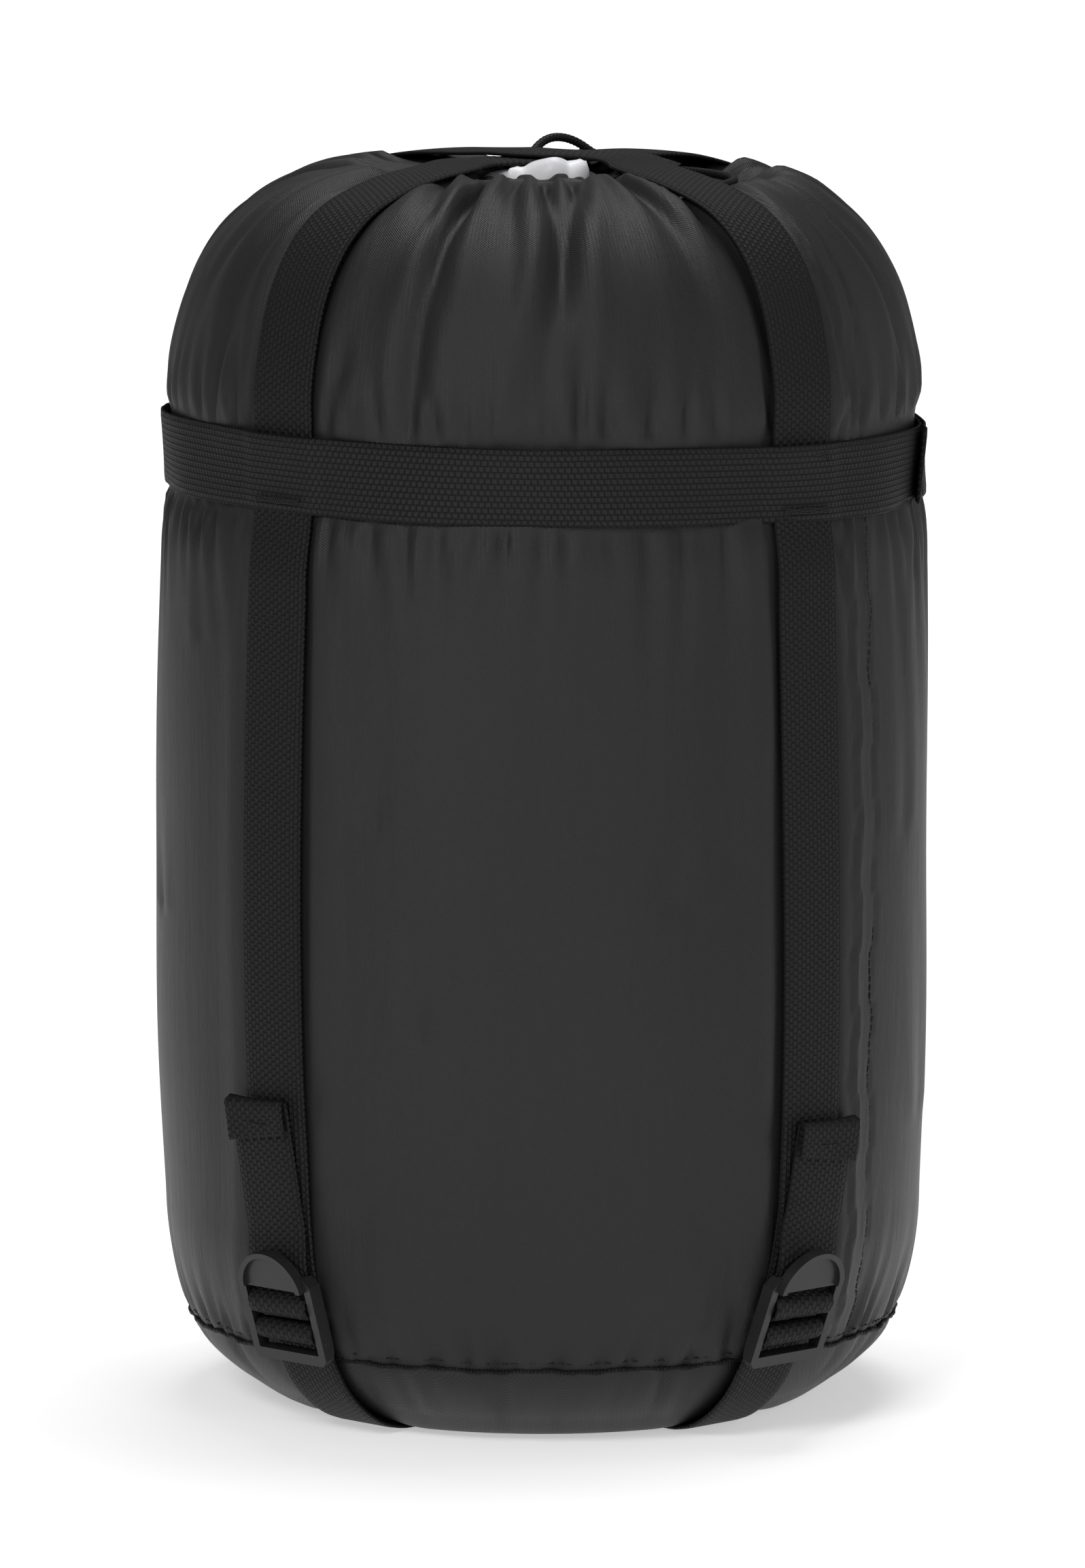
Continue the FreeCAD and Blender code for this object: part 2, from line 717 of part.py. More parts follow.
def place_lock_part(body):
    """Lay a part made along +Z on the hollow beside the hem, its end to the back right."""
    turn = FreeCAD.Rotation(v(0, 0, 1), value("size.lock_turn"))
    centre = turn.multVec(v(value("size.lock_out"), 0, 0))
    lying = FreeCAD.Rotation(v(1, 0, 0), -90)
    centre.z = value("size.crown_top - 1.7")
    body.Placement = FreeCAD.Placement(centre, turn.multiply(lying))
    body.setExpression(".Placement.Base.x", "size.lock_out * cos(size.lock_turn * 1 deg)")
    body.setExpression(".Placement.Base.y", "size.lock_out * sin(size.lock_turn * 1 deg)")
    body.setExpression(".Placement.Base.z", "size.crown_top - 1.7")


SLOT = "(size.cord_diameter + 0.8)"
ABREAST = "(size.cord_diameter + 1.1)"
PLUNGER_FOOT = f"(0 - {ABREAST} - 1.5)"
SPRING_SEAT = f"({PLUNGER_FOOT} - size.plunger_stroke - 2)"


def make_lock_barrel():
    body = new_body("lock_barrel")
    outline = new_sketch(body, "barrel_outline", "XZ_Plane")
    bore = "(size.plunger_radius + 0.35)"
    draw(
        outline,
        [
            ("0", f"({SPRING_SEAT} - 1.5)"),
            ("(size.lock_radius - 1)", f"({SPRING_SEAT} - 1.5)"),
            ("size.lock_radius", f"({SPRING_SEAT} - 0.5)"),
            ("size.lock_radius", "7.4"),
            ("(size.lock_radius - 0.6)", "8"),
            (bore, "8"),
            (bore, SPRING_SEAT),
            ("0", SPRING_SEAT),
        ],
    )
    turn = body.newObject("PartDesign::Revolution", "barrel_turn")
    turn.Profile = outline
    turn.ReferenceAxis = (outline, ["V_Axis"])
    turn.Angle = 360
    slot = new_sketch(body, "barrel_slot_outline", "YZ_Plane")
    slot_outline(slot, f"0 - {ABREAST}", ABREAST)
    pocket(body, slot, "40")
    place_lock_part(body)


def slot_outline(sketch, low, high):
    """A slot across the lock for the two runs of cord, between two places along it."""
    half = f"({SLOT} / 2)"
    left = f"(0 - {half})"
    draw(sketch, [(left, low), (half, low), (half, high), (left, high)])


def make_lock_plunger():
    body = new_body("lock_plunger")
    outline = new_sketch(body, "plunger_outline", "XZ_Plane")
    draw(
        outline,
        [
            ("0", PLUNGER_FOOT),
            ("size.plunger_radius", PLUNGER_FOOT),
            ("size.plunger_radius", "12.4"),
            ("(size.plunger_radius - 0.8)", "13.2"),
            ("0", "13.2"),
        ],
    )
    turn = body.newObject("PartDesign::Revolution", "plunger_turn")
    turn.Profile = outline
    turn.ReferenceAxis = (outline, ["V_Axis"])
    turn.Angle = 360
    slot = new_sketch(body, "plunger_slot_outline", "YZ_Plane")
    slot_outline(slot, f"0 - {ABREAST}", f"{ABREAST} + size.plunger_stroke")
    pocket(body, slot, "40")
    place_lock_part(body)


def make_lock_spring():
    """The coil spring between the barrel's end and the plunger."""
    spring = doc.addObject("Part::Feature", "lock_spring")
    spring.Label = "lock_spring"
    wire, coil = 0.5, 3.0
    low = value(SPRING_SEAT) + wire / 2 + 0.3
    tall = value(PLUNGER_FOOT) - 0.3 - wire / 2 - low
    corners = [polar(30 * i, coil, tall * i / 36) for i in range(37)]
    spring.Shape = cord_solid(corners, wire)
    spring.Placement = doc.getObject("lock_barrel").Placement
    lift = spring.Placement.Rotation.multVec(v(0, 0, low))
    spring.Placement.Base = spring.Placement.Base + lift


# ---------------------------------------------------------------- everything

make_base_panel()
make_base_seam()
make_wall()
make_side_seam()
make_lower_contents()
make_crown()
make_mouth_hem()
make_upper_contents()
for corner, turn in CORNERS:
    make_leg_strap(corner, turn)
    make_tail(corner, turn)
    make_buckle(corner, turn)
    make_wrap(corner, turn)
make_bottom_strap("bottom_strap_lower", "(0 - size.strap_turn)", "0")
make_bottom_strap("bottom_strap_upper", "size.strap_turn", "(size.web_thick + 0.4)")
make_cross_strap("cross_strap_lower", "(0 - size.strap_turn)", "0")
make_cross_strap("cross_strap_upper", "size.strap_turn", "(size.web_thick + 0.4)")
make_band()
make_band_lap()
make_bar_tacks()
make_lock_barrel()
make_lock_plunger()
make_drawcord()
make_cord_knot()
doc.recompute()
make_lock_spring()
doc.recompute()

for item in doc.Objects:
    if "Invalid" in item.State or "Error" in item.State:
        raise RuntimeError(f"{item.Name} is {item.State}")

nodes = [o for o in doc.Objects if o.TypeId in ("PartDesign::Body", "Part::Feature")]
for node in nodes:
    shape = node.Shape
    if shape.isNull() or not shape.isValid() or not shape.Solids:
        raise RuntimeError(f"{node.Label} has no valid solid")
    shape.exportStep(f"parts/{node.Label}.step")
    box = shape.BoundBox
    print(f"{node.Label}: {len(shape.Solids)} solids, {shape.Volume:.0f} mm3,",
          f"z {box.ZMin:.1f} to {box.ZMax:.1f}, x {box.XMin:.1f} to {box.XMax:.1f}")
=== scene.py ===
"""A packed compression sack: its camera, drawcord, cloth, webbing, buckles, floor and light."""

from __future__ import annotations

import json
import logging
import math
from dataclasses import dataclass, field
from enum import Enum
from typing import Any, Callable, Sequence

import bmesh
import bpy
import numpy as np
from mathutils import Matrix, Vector

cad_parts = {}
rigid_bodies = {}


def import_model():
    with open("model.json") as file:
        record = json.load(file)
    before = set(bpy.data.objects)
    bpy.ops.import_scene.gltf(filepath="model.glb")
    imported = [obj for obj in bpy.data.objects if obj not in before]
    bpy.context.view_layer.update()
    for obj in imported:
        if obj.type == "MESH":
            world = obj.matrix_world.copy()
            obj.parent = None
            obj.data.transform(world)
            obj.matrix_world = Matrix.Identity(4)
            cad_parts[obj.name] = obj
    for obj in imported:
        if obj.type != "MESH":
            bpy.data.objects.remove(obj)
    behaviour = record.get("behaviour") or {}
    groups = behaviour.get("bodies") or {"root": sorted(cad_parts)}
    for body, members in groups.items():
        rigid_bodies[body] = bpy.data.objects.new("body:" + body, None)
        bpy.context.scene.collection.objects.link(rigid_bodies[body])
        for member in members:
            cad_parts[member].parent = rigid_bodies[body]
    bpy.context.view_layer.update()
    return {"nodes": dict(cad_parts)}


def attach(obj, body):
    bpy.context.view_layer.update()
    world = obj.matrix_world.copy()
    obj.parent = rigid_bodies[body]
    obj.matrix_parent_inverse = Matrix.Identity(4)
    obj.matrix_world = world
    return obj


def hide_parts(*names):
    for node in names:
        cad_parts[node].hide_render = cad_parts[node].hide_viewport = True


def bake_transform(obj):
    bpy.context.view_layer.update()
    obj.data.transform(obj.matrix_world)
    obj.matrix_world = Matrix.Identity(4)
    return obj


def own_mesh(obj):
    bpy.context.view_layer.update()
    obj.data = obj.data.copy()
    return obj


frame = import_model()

LOG = logging.getLogger("compression_sack")
MM = 0.001


# ------------------------------------------------------------------ shader building


class Val:
    """A number or colour socket of a shader tree, with arithmetic."""

    def __init__(self, graph: "Graph", socket: bpy.types.NodeSocket) -> None:
        """Wrap a socket.

        Args:
            graph: The material's graph, which adds the Math nodes.
            socket: The output socket.
        """
        self.graph, self.socket = graph, socket

    def math(self, operation: str, *others: Any) -> "Val":
        """Apply a Math operation to this value.

        Args:
            operation: The Math node's operation.
            others: Further values, numbers or Val.

        Returns:
            The result.
        """
        return self.graph.math(operation, self, *others)

    def __add__(self, other: Any) -> "Val":
        """Sum."""
        return self.math("ADD", other)

    def __radd__(self, other: Any) -> "Val":
        """Sum."""
        return self.math("ADD", other)

    def __sub__(self, other: Any) -> "Val":
        """Difference."""
        return self.math("SUBTRACT", other)

    def __rsub__(self, other: Any) -> "Val":
        """Difference the other way."""
        return self.graph.math("SUBTRACT", other, self)

    def __mul__(self, other: Any) -> "Val":
        """Product."""
        return self.math("MULTIPLY", other)

    def __rmul__(self, other: Any) -> "Val":
        """Product."""
        return self.math("MULTIPLY", other)

    def __truediv__(self, other: Any) -> "Val":
        """Quotient."""
        return self.math("DIVIDE", other)

    def __pow__(self, other: Any) -> "Val":
        """Power."""
        return self.math("POWER", other)

    def sine(self) -> "Val":
        """Sine."""
        return self.math("SINE")

    def fract(self) -> "Val":
        """Fraction."""
        return self.math("FRACT")

    def floor(self) -> "Val":
        """Floor."""
        return self.math("FLOOR")

    def size(self) -> "Val":
        """Absolute value."""
        return self.math("ABSOLUTE")

    def clamped(self) -> "Val":
        """This value held between 0 and 1."""
        return self.math("MAXIMUM", 0.0).math("MINIMUM", 1.0)


class Graph:
    """One material's node tree."""

    def __init__(self, name: str) -> None:
        """Start a material.

        Args:
            name: The material's name.
        """
        self.material = bpy.data.materials.new(name)
        self.material.use_nodes = True
        self.tree = self.material.node_tree
        self.tree.nodes.clear()

    def put(self, socket: bpy.types.NodeSocket, value: Any) -> None:
        """Link or set one input.

        Args:
            socket: The input socket.
            value: A Val, a socket, or a constant.
        """
        if isinstance(value, Val):
            self.tree.links.new(value.socket, socket)
        elif isinstance(value, bpy.types.NodeSocket):
            self.tree.links.new(value, socket)
        else:
            socket.default_value = value

    def node(self, kind: str, settings: dict[str, Any] | None = None,
             inputs: dict[Any, Any] | None = None) -> bpy.types.Node:
        """Add a node.

        Args:
            kind: The node type.
            settings: Attributes, set first; "stops" fills a colour ramp.
            inputs: Values or links by socket name or index.

        Returns:
            The node.
        """
        made = self.tree.nodes.new(kind)
        for key, value in (settings or {}).items():
            if key == "stops":
                ramp = made.color_ramp
                while len(ramp.elements) < len(value):
                    ramp.elements.new(0.5)
                for element, (place, colour) in zip(ramp.elements, value):
                    element.position = place
                    element.color = (*colour, 1.0) if len(colour) == 3 else colour
            else:
                setattr(made, key, value)
        for key, value in (inputs or {}).items():
            self.put(made.inputs[key], value)
        return made

    def math(self, operation: str, *values: Any) -> Val:
        """Add a Math node.

        Args:
            operation: Its operation.
            values: Its inputs.

        Returns:
            Its result.
        """
        made = self.node("ShaderNodeMath", {"operation": operation}, dict(enumerate(values)))
        return Val(self, made.outputs[0])

    def uv(self) -> tuple[Val, Val]:
        """Read the UV map, which is in millimetres.

        Returns:
            The distances across and along the surface.
        """
        place = self.node("ShaderNodeUVMap", {"uv_map": "UVMap"})
        parts = self.node("ShaderNodeSeparateXYZ", None, {0: place.outputs[0]})
        return Val(self, parts.outputs[0]), Val(self, parts.outputs[1])

    def noise(self, scale: tuple[float, float, float], detail: float = 3.0,
              roughness: float = 0.55, by_uv: bool = False) -> Val:
        """Noise stretched along the axes.

        Args:
            scale: Cycles per unit (metres, or millimetres by UV) on each axis.
            detail: Octaves.
            roughness: Strength of the finer octaves.
            by_uv: Read the UV map in place of Object coordinates.

        Returns:
            The factor, about 0.5 on average.
        """
        if by_uv:
            place = self.node("ShaderNodeUVMap", {"uv_map": "UVMap"}).outputs[0]
        else:
            place = self.node("ShaderNodeTexCoord").outputs["Object"]
        mapped = self.node("ShaderNodeMapping", None, {"Vector": place, "Scale": scale})
        made = self.node("ShaderNodeTexNoise", None, {
            "Vector": mapped.outputs[0], "Scale": 1.0, "Detail": detail, "Roughness": roughness})
        return Val(self, made.outputs[0])

    def blend(self, factor: Any, low: Sequence[float], high: Sequence[float]
              ) -> bpy.types.NodeSocket:
        """Mix two colours.

        Args:
            factor: How much of the second.
            low: The first colour.
            high: The second colour.

        Returns:
            The colour socket.
        """
        made = self.node("ShaderNodeMix", {"data_type": "RGBA"},
                         {0: factor, 6: (*low, 1), 7: (*high, 1)})
        return made.outputs[2]

    def finish(self, height: Val | None, distance: float, strength: float = 1.0,
               **inputs: Any) -> bpy.types.Material:
        """Close the tree with a Principled shader.

        Args:
            height: Bump height from 0 to 1, or None.
            distance: What a height of 1 is, in metres.
            strength: Bump strength.
            inputs: Principled inputs, with underscores for spaces.

        Returns:
            The material.
        """
        shader = self.node("ShaderNodeBsdfPrincipled")
        for key, value in inputs.items():
            self.put(shader.inputs[key.replace("_", " ")], value)
        if height is not None:
            bump = self.node("ShaderNodeBump", None,
                             {"Strength": strength, "Distance": distance, "Height": height})
            self.put(shader.inputs["Normal"], bump.outputs[0])
        out = self.node("ShaderNodeOutputMaterial")
        self.put(out.inputs[0], shader.outputs[0])
        return self.material


class Weave(Enum):
    """How a length of webbing is woven: pitch across and along, in millimetres."""

    RIBBED = (1.75, 2.3)
    DOTTED = (1.9, 2.1)
    FINE = (1.15, 1.5)


@dataclass(frozen=True)
class ClothFinish:
    """Black twill polyester with a soft satin sheen."""

    name: str = "sack_cloth"
    dark: tuple[float, float, float] = (0.0090, 0.0090, 0.0096)
    light: tuple[float, float, float] = (0.0225, 0.0225, 0.0240)
    twill_mm: float = 0.85

    def build(self) -> bpy.types.Material:
        """Make the material.

        Returns:
            The material.
        """
        g = Graph(self.name)
        u, v = g.uv()
        twill = ((u * 0.72 + v) * (2 * math.pi / self.twill_mm)).sine() * 0.5 + 0.5
        yarn = (u * (2 * math.pi / 0.42)).sine() * (v * (2 * math.pi / 0.42)).sine() * 0.5 + 0.5
        cloud = g.noise((0.012, 0.008, 1.0), 4.0, by_uv=True)
        crease = g.noise((0.22, 0.028, 1.0), 5.0, 0.6, by_uv=True)
        wrinkle = g.noise((0.55, 0.10, 1.0), 4.0, 0.6, by_uv=True)
        # The colour mixes the twill's own pattern with painted light. It follows the large noise
        # that also mottles the roughness, which gives a painted sheen mottle. It is also lighter on
        # the raised wrinkles and darker in their hollows, which gives a painted highlight and
        # painted shade.
        shade = twill * 0.34 + cloud * 0.45 + crease * 0.21
        height = twill * 0.10 + yarn * 0.05 + crease * 0.62 + wrinkle * 0.23
        return g.finish(
            height, 0.0011, 0.55,
            Base_Color=g.blend(shade, self.dark, self.light),
            Roughness=cloud * 0.14 + crease * 0.08 + 0.33,
            Specular_IOR_Level=0.24)


@dataclass(frozen=True)
class WebbingFinish:
    """Black polypropylene webbing; the weave follows the strip's UV map."""

    name: str = "webbing"
    weave: Weave = Weave.RIBBED
    dark: tuple[float, float, float] = (0.0010, 0.0010, 0.0011)
    light: tuple[float, float, float] = (0.0150, 0.0150, 0.0157)

    def build(self) -> bpy.types.Material:
        """Make the material.

        Returns:
            The material.
        """
        g = Graph(self.name)
        u, v = g.uv()
        across, along = self.weave.value
        column = u / across
        odd = (column.floor() * 0.5).fract() * 2.0
        round_u = (column.fract() * math.pi).sine()
        row = v / along + odd * 0.5
        round_v = (row.fract() * math.pi).sine()
        float_yarn = round_u ** 0.7 * round_v ** 0.6
        split = ((column.fract() - 0.5).size() * 7.0).math("MINIMUM", 1.0)
        height = float_yarn * (split * 0.25 + 0.75)
        fuzz = g.noise((900.0, 900.0, 900.0), 2.0)
        wear = g.noise((28.0, 28.0, 14.0), 4.0)
        shade = height * 0.72 + fuzz * 0.12 + wear * 0.16
        return g.finish(
            height + fuzz * 0.12, 0.00045, 0.9,
            Base_Color=g.blend(shade, self.dark, self.light),
            Roughness=wear * 0.14 - height * 0.16 + 0.60,
            Specular_IOR_Level=0.16)


@dataclass(frozen=True)
class CordFinish:
    """Braided black cord; the braid follows the tube's UV map."""

    name: str = "drawcord"
    dark: tuple[float, float, float] = (0.0012, 0.0012, 0.0013)
    light: tuple[float, float, float] = (0.0110, 0.0110, 0.0115)

    def build(self) -> bpy.types.Material:
        """Make the material.

        Returns:
            The material.
        """
        g = Graph(self.name)
        u, v = g.uv()
        turn = u * 4.0
        rise = v / 1.5
        one = ((turn + rise).fract() * math.pi).sine()
        two = ((turn - rise).fract() * math.pi).sine()
        braid = one.math("MAXIMUM", two) * 0.6 + one * two * 0.4
        fuzz = g.noise((1500.0, 1500.0, 1500.0), 2.0)
        return g.finish(
            braid + fuzz * 0.15, 0.00030, 0.8,
            Base_Color=g.blend(braid * 0.8 + fuzz * 0.2, self.dark, self.light),
            Roughness=0.62 - braid * 0.16, Specular_IOR_Level=0.18)


@dataclass(frozen=True)
class BeddingFinish:
    """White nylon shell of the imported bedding."""

    name: str = "packed_cloth"

    def build(self) -> bpy.types.Material:
        """Make the material.

        Returns:
            The material.
        """
        g = Graph(self.name)
        fold = g.noise((60.0, 60.0, 40.0), 5.0)
        fine = g.noise((700.0, 700.0, 700.0), 2.0)
        # The shell's colour follows the fold noise that also raises the bump. This is painted
        # shade, darker in the fold hollows and lighter on their tops.
        return g.finish(
            fold * 0.8 + fine * 0.2, 0.0012, 0.35,
            Base_Color=g.blend(fold, (0.70, 0.70, 0.735), (0.93, 0.93, 0.95)),
            Roughness=fold * 0.15 + 0.38, Sheen_Weight=0.12)


@dataclass(frozen=True)
class PlasticFinish:
    """Moulded acetal, a little scuffed."""

    name: str = "buckle_plastic"
    base: tuple[float, float, float] = (0.0120, 0.0120, 0.0127)
    scuffed: tuple[float, float, float] = (0.030, 0.030, 0.0315)
    roughness: float = 0.30

    def build(self) -> bpy.types.Material:
        """Make the material.

        Returns:
            The material.
        """
        g = Graph(self.name)
        grain = g.noise((2600.0, 2600.0, 2600.0), 2.0)
        cloud = g.noise((70.0, 70.0, 70.0), 3.0)
        scuff = g.noise((260.0, 260.0, 900.0), 4.0, 0.7)
        mark = ((scuff - 0.60) * 6.0).clamped()
        return g.finish(
            grain * 0.7 + mark * 0.3, 0.00006, 0.6,
            Base_Color=g.blend(mark * 0.7 + cloud * 0.25, self.base, self.scuffed),
            Roughness=cloud * 0.14 + mark * 0.16 + self.roughness, Specular_IOR_Level=0.38)


@dataclass(frozen=True)
class ThreadFinish:
    """Black sewing thread."""

    name: str = "thread"
    colour: tuple[float, float, float] = (0.0020, 0.0020, 0.0021)

    def build(self) -> bpy.types.Material:
        """Make the material.

        Returns:
            The material.
        """
        g = Graph(self.name)
        twist = g.noise((2400.0, 2400.0, 1200.0), 2.0)
        return g.finish(twist, 0.0001, 0.5,
                        Base_Color=g.blend(twist, self.colour, (0.012, 0.012, 0.0125)),
                        Roughness=0.5, Specular_IOR_Level=0.3)


@dataclass(frozen=True)
class SteelFinish:
    """Bright spring wire."""

    name: str = "spring_steel"

    def build(self) -> bpy.types.Material:
        """Make the material.

        Returns:
            The material.
        """
        g = Graph(self.name)
        drawn = g.noise((300.0, 300.0, 3000.0), 3.0)
        return g.finish(drawn, 0.00003, 0.4,
                        Base_Color=g.blend(drawn, (0.45, 0.45, 0.46), (0.68, 0.68, 0.69)),
                        Metallic=1.0, Roughness=drawn * 0.2 + 0.22)


@dataclass(frozen=True)
class GlowingFloorFinish:
    """White floor that glows, a painted light: its emission is lower near the sack and dimmed to
    either side of the strip behind it.
    """

    name: str = "floor"

    def build(self) -> bpy.types.Material:
        """Make the material.

        Returns:
            The material.
        """
        g = Graph(self.name)
        spot = g.node("ShaderNodeTexCoord").outputs["Object"]
        place = g.node("ShaderNodeSeparateXYZ", None, {0: spot})
        x, y = Val(g, place.outputs[0]), Val(g, place.outputs[1])
        # Painted light: the glow is dimmed in strips to either side of the sack, so that its sides
        # reflect less of the floor. It is also lower near the sack, so that its shadow shows.
        aside = ((x.size() - y * 0.07 - 0.30) * 2.2).clamped()
        away = (((x * x + y * y) ** 0.5 - 0.45) * 0.8).clamped()
        glow = (away * 0.46 + 0.46) * (1.0 - aside * 0.82)
        return g.finish(
            None, 0.0,
            Base_Color=(0.92, 0.92, 0.92, 1.0), Roughness=0.9, Specular_IOR_Level=0.0,
            Emission_Color=g.blend(glow, (0.0, 0.0, 0.0), (1.0, 1.0, 1.0)), Emission_Strength=1.0)


@dataclass
class Finishes:
    """Every finish of the sack, built once."""

    cloth: bpy.types.Material = field(default_factory=lambda: ClothFinish().build())
    ribbed: bpy.types.Material = field(
        default_factory=lambda: WebbingFinish("webbing_ribbed").build())
    dotted: bpy.types.Material = field(
        default_factory=lambda: WebbingFinish(
            "webbing_dotted", Weave.DOTTED,
            (0.0014, 0.0014, 0.0015), (0.0200, 0.0200, 0.0210)).build())
    fine: bpy.types.Material = field(
        default_factory=lambda: WebbingFinish("webbing_fine", Weave.FINE).build())
    cord: bpy.types.Material = field(default_factory=lambda: CordFinish().build())
    bedding: bpy.types.Material = field(default_factory=lambda: BeddingFinish().build())
    buckle: bpy.types.Material = field(default_factory=lambda: PlasticFinish().build())
    lock: bpy.types.Material = field(
        default_factory=lambda: PlasticFinish("lock_plastic", (0.006, 0.006, 0.0063),
                                              (0.02, 0.02, 0.021), 0.36).build())
    thread: bpy.types.Material = field(default_factory=lambda: ThreadFinish().build())
    steel: bpy.types.Material = field(default_factory=lambda: SteelFinish().build())


# ------------------------------------------------------------------ meshes


def grid_faces(rows: int, columns: int, wrap: bool) -> list[tuple[int, int, int, int]]:
    """Quads of a grid of points stored row by row.

    Args:
        rows: Points along.
        columns: Points across.
        wrap: Join the last column to the first.

    Returns:
        The faces.
    """
    last = columns if wrap else columns - 1
    return [(i * columns + j, i * columns + (j + 1) % columns,
             (i + 1) * columns + (j + 1) % columns, (i + 1) * columns + j)
            for i in range(rows - 1) for j in range(last)]


def new_piece(name: str, points: np.ndarray, faces: Sequence[Sequence[int]],
              material: bpy.types.Material, uv: np.ndarray | None = None,
              smooth: bool = True) -> bpy.types.Object:
    """Make a mesh object in the row frame.

    Args:
        name: The piece's name.
        points: Its points, in metres.
        faces: Its faces, counter-clockwise from outside.
        material: Its finish.
        uv: A UV pair for each corner of each face, in order.
        smooth: Shade smooth.

    Returns:
        The object.
    """
    mesh = bpy.data.meshes.new(name)
    mesh.from_pydata(points.tolist(), [], [tuple(f) for f in faces])
    if uv is not None:
        layer = mesh.uv_layers.new(name="UVMap")
        layer.data.foreach_set("uv", np.asarray(uv, np.float32).ravel())
    mesh.materials.append(material)
    mesh.polygons.foreach_set("use_smooth", [smooth] * len(mesh.polygons))
    mesh.update()
    return put_in_scene(name, mesh)


def put_in_scene(name: str, data: Any) -> bpy.types.Object:
    """Make an object and link it.

    Args:
        name: Its name.
        data: Its mesh, light or camera.

    Returns:
        The object.
    """
    made = bpy.data.objects.new(name, data)
    bpy.context.scene.collection.objects.link(made)
    return made


def cad_mesh(name: str, node: str, material: bpy.types.Material) -> bpy.types.Mesh:
    """A copy of a CAD node's mesh with a finish.

    Args:
        name: The copy's name.
        node: The CAD node.
        material: The finish.

    Returns:
        The mesh.
    """
    mesh = frame["nodes"][node].data.copy()
    mesh.name = name
    mesh.materials.clear()
    mesh.materials.append(material)
    return mesh


def out_dir(azimuth: float) -> np.ndarray:
    """Unit vector out of the sack at an azimuth from the front, in degrees."""
    a = math.radians(azimuth)
    return np.array([math.sin(a), -math.cos(a), 0.0])


def side_dir(azimuth: float) -> np.ndarray:
    """Unit vector to the right of that direction, seen from outside."""
    a = math.radians(azimuth)
    return np.array([math.cos(a), math.sin(a), 0.0])


def about_axis(radius: Any, angle: Any, height: Any) -> np.ndarray:
    """Points about the sack's upright axis, from radius, angle from the front, and height."""
    return np.stack([radius * np.sin(angle), -radius * np.cos(angle), height], axis=-1)


def turned(azimuth: Any, other: Any) -> Any:
    """Angle to one azimuth from another, in degrees, between -180 and 180."""
    return (azimuth - other + 180) % 360 - 180


def distance_along(line: np.ndarray) -> np.ndarray:
    """Distance from a line's start at each of its points."""
    return np.concatenate([[0.0], np.cumsum(np.linalg.norm(np.diff(line, axis=0), axis=1))])


def directions(line: np.ndarray) -> np.ndarray:
    """Unit vector along a line at each of its points."""
    way = np.gradient(line, axis=0)
    return way / np.linalg.norm(way, axis=1)[:, None]


def smooth_line(points: Sequence[Sequence[float]], rounds: int = 4) -> np.ndarray:
    """Round the corners of a line by cutting them repeatedly.

    Args:
        points: The line's points.
        rounds: How often each corner is cut.

    Returns:
        The smoother line, with the same ends.
    """
    line = np.array(points, float)
    for _ in range(rounds):
        a, b = line[:-1] * 0.75 + line[1:] * 0.25, line[:-1] * 0.25 + line[1:] * 0.75
        cut = np.empty((2 * len(a), line.shape[1]))
        cut[0::2], cut[1::2] = a, b
        line = np.vstack([line[:1], cut, line[-1:]])
    return line


def even_line(line: np.ndarray, step: float) -> np.ndarray:
    """Points spaced evenly along a line.

    Args:
        line: The line.
        step: The spacing wanted.

    Returns:
        The points.
    """
    gone = distance_along(line)
    at = np.linspace(0.0, gone[-1], max(2, int(round(gone[-1] / step)) + 1))
    return np.stack([np.interp(at, gone, line[:, k]) for k in range(line.shape[1])], axis=1)


def ease(x: np.ndarray | float, low: float, high: float) -> Any:
    """Smooth step from 0 at low to 1 at high."""
    t = np.clip((np.asarray(x, float) - low) / (high - low), 0.0, 1.0)
    return t * t * (3 - 2 * t)


# ------------------------------------------------------------------ the sack's form


CORNERS = {"front_left": -42.4, "front_right": 42.4, "back_left": 222.4, "back_right": 137.6}

# The two straps that cross, over the top and under the base: the corner where each has its
# front end, how far it bows aside over the top, and how far it rises over the other.
FRONT_END = {"lower": "front_left", "upper": "front_right"}
CROSS_BOW = {"lower": -10.0, "upper": 14.0}
LIFT_OVER = {"lower": 0.0, "upper": 2.0}

# Height of each loose end's tip, and how far the tips lean to the side.
TAIL_TOP = {"front_left": 112.0, "front_right": 105.0, "back_left": 110.0, "back_right": 110.0}
TAIL_LEAN = 6.5

# Where the side seam runs, and how far beside it the row of stitches is.
SEAM_AZIMUTH = 53.0
SEAM_ROW = 9.0


def seam_wander(along: np.ndarray) -> np.ndarray:
    """How far the side seam strays to the side, in millimetres, at distances up the cloth."""
    return 0.9 * np.sin(along * 0.19) + 0.45 * np.sin(along * 0.47 + 1.0)


def slack_side(azimuth: np.ndarray) -> np.ndarray:
    """How much an azimuth is on the side where the crown has sunk, from 0 to 1."""
    return np.maximum(ease(azimuth, 24, 38), 1 - ease(azimuth, -164, -146))


def cross_bow(name: str, ahead: np.ndarray) -> np.ndarray:
    """Sideways bow of a top strap, in millimetres, at distances ahead of the crossing."""
    return CROSS_BOW[name] * np.exp(-(((ahead - 24) / 17) ** 2))


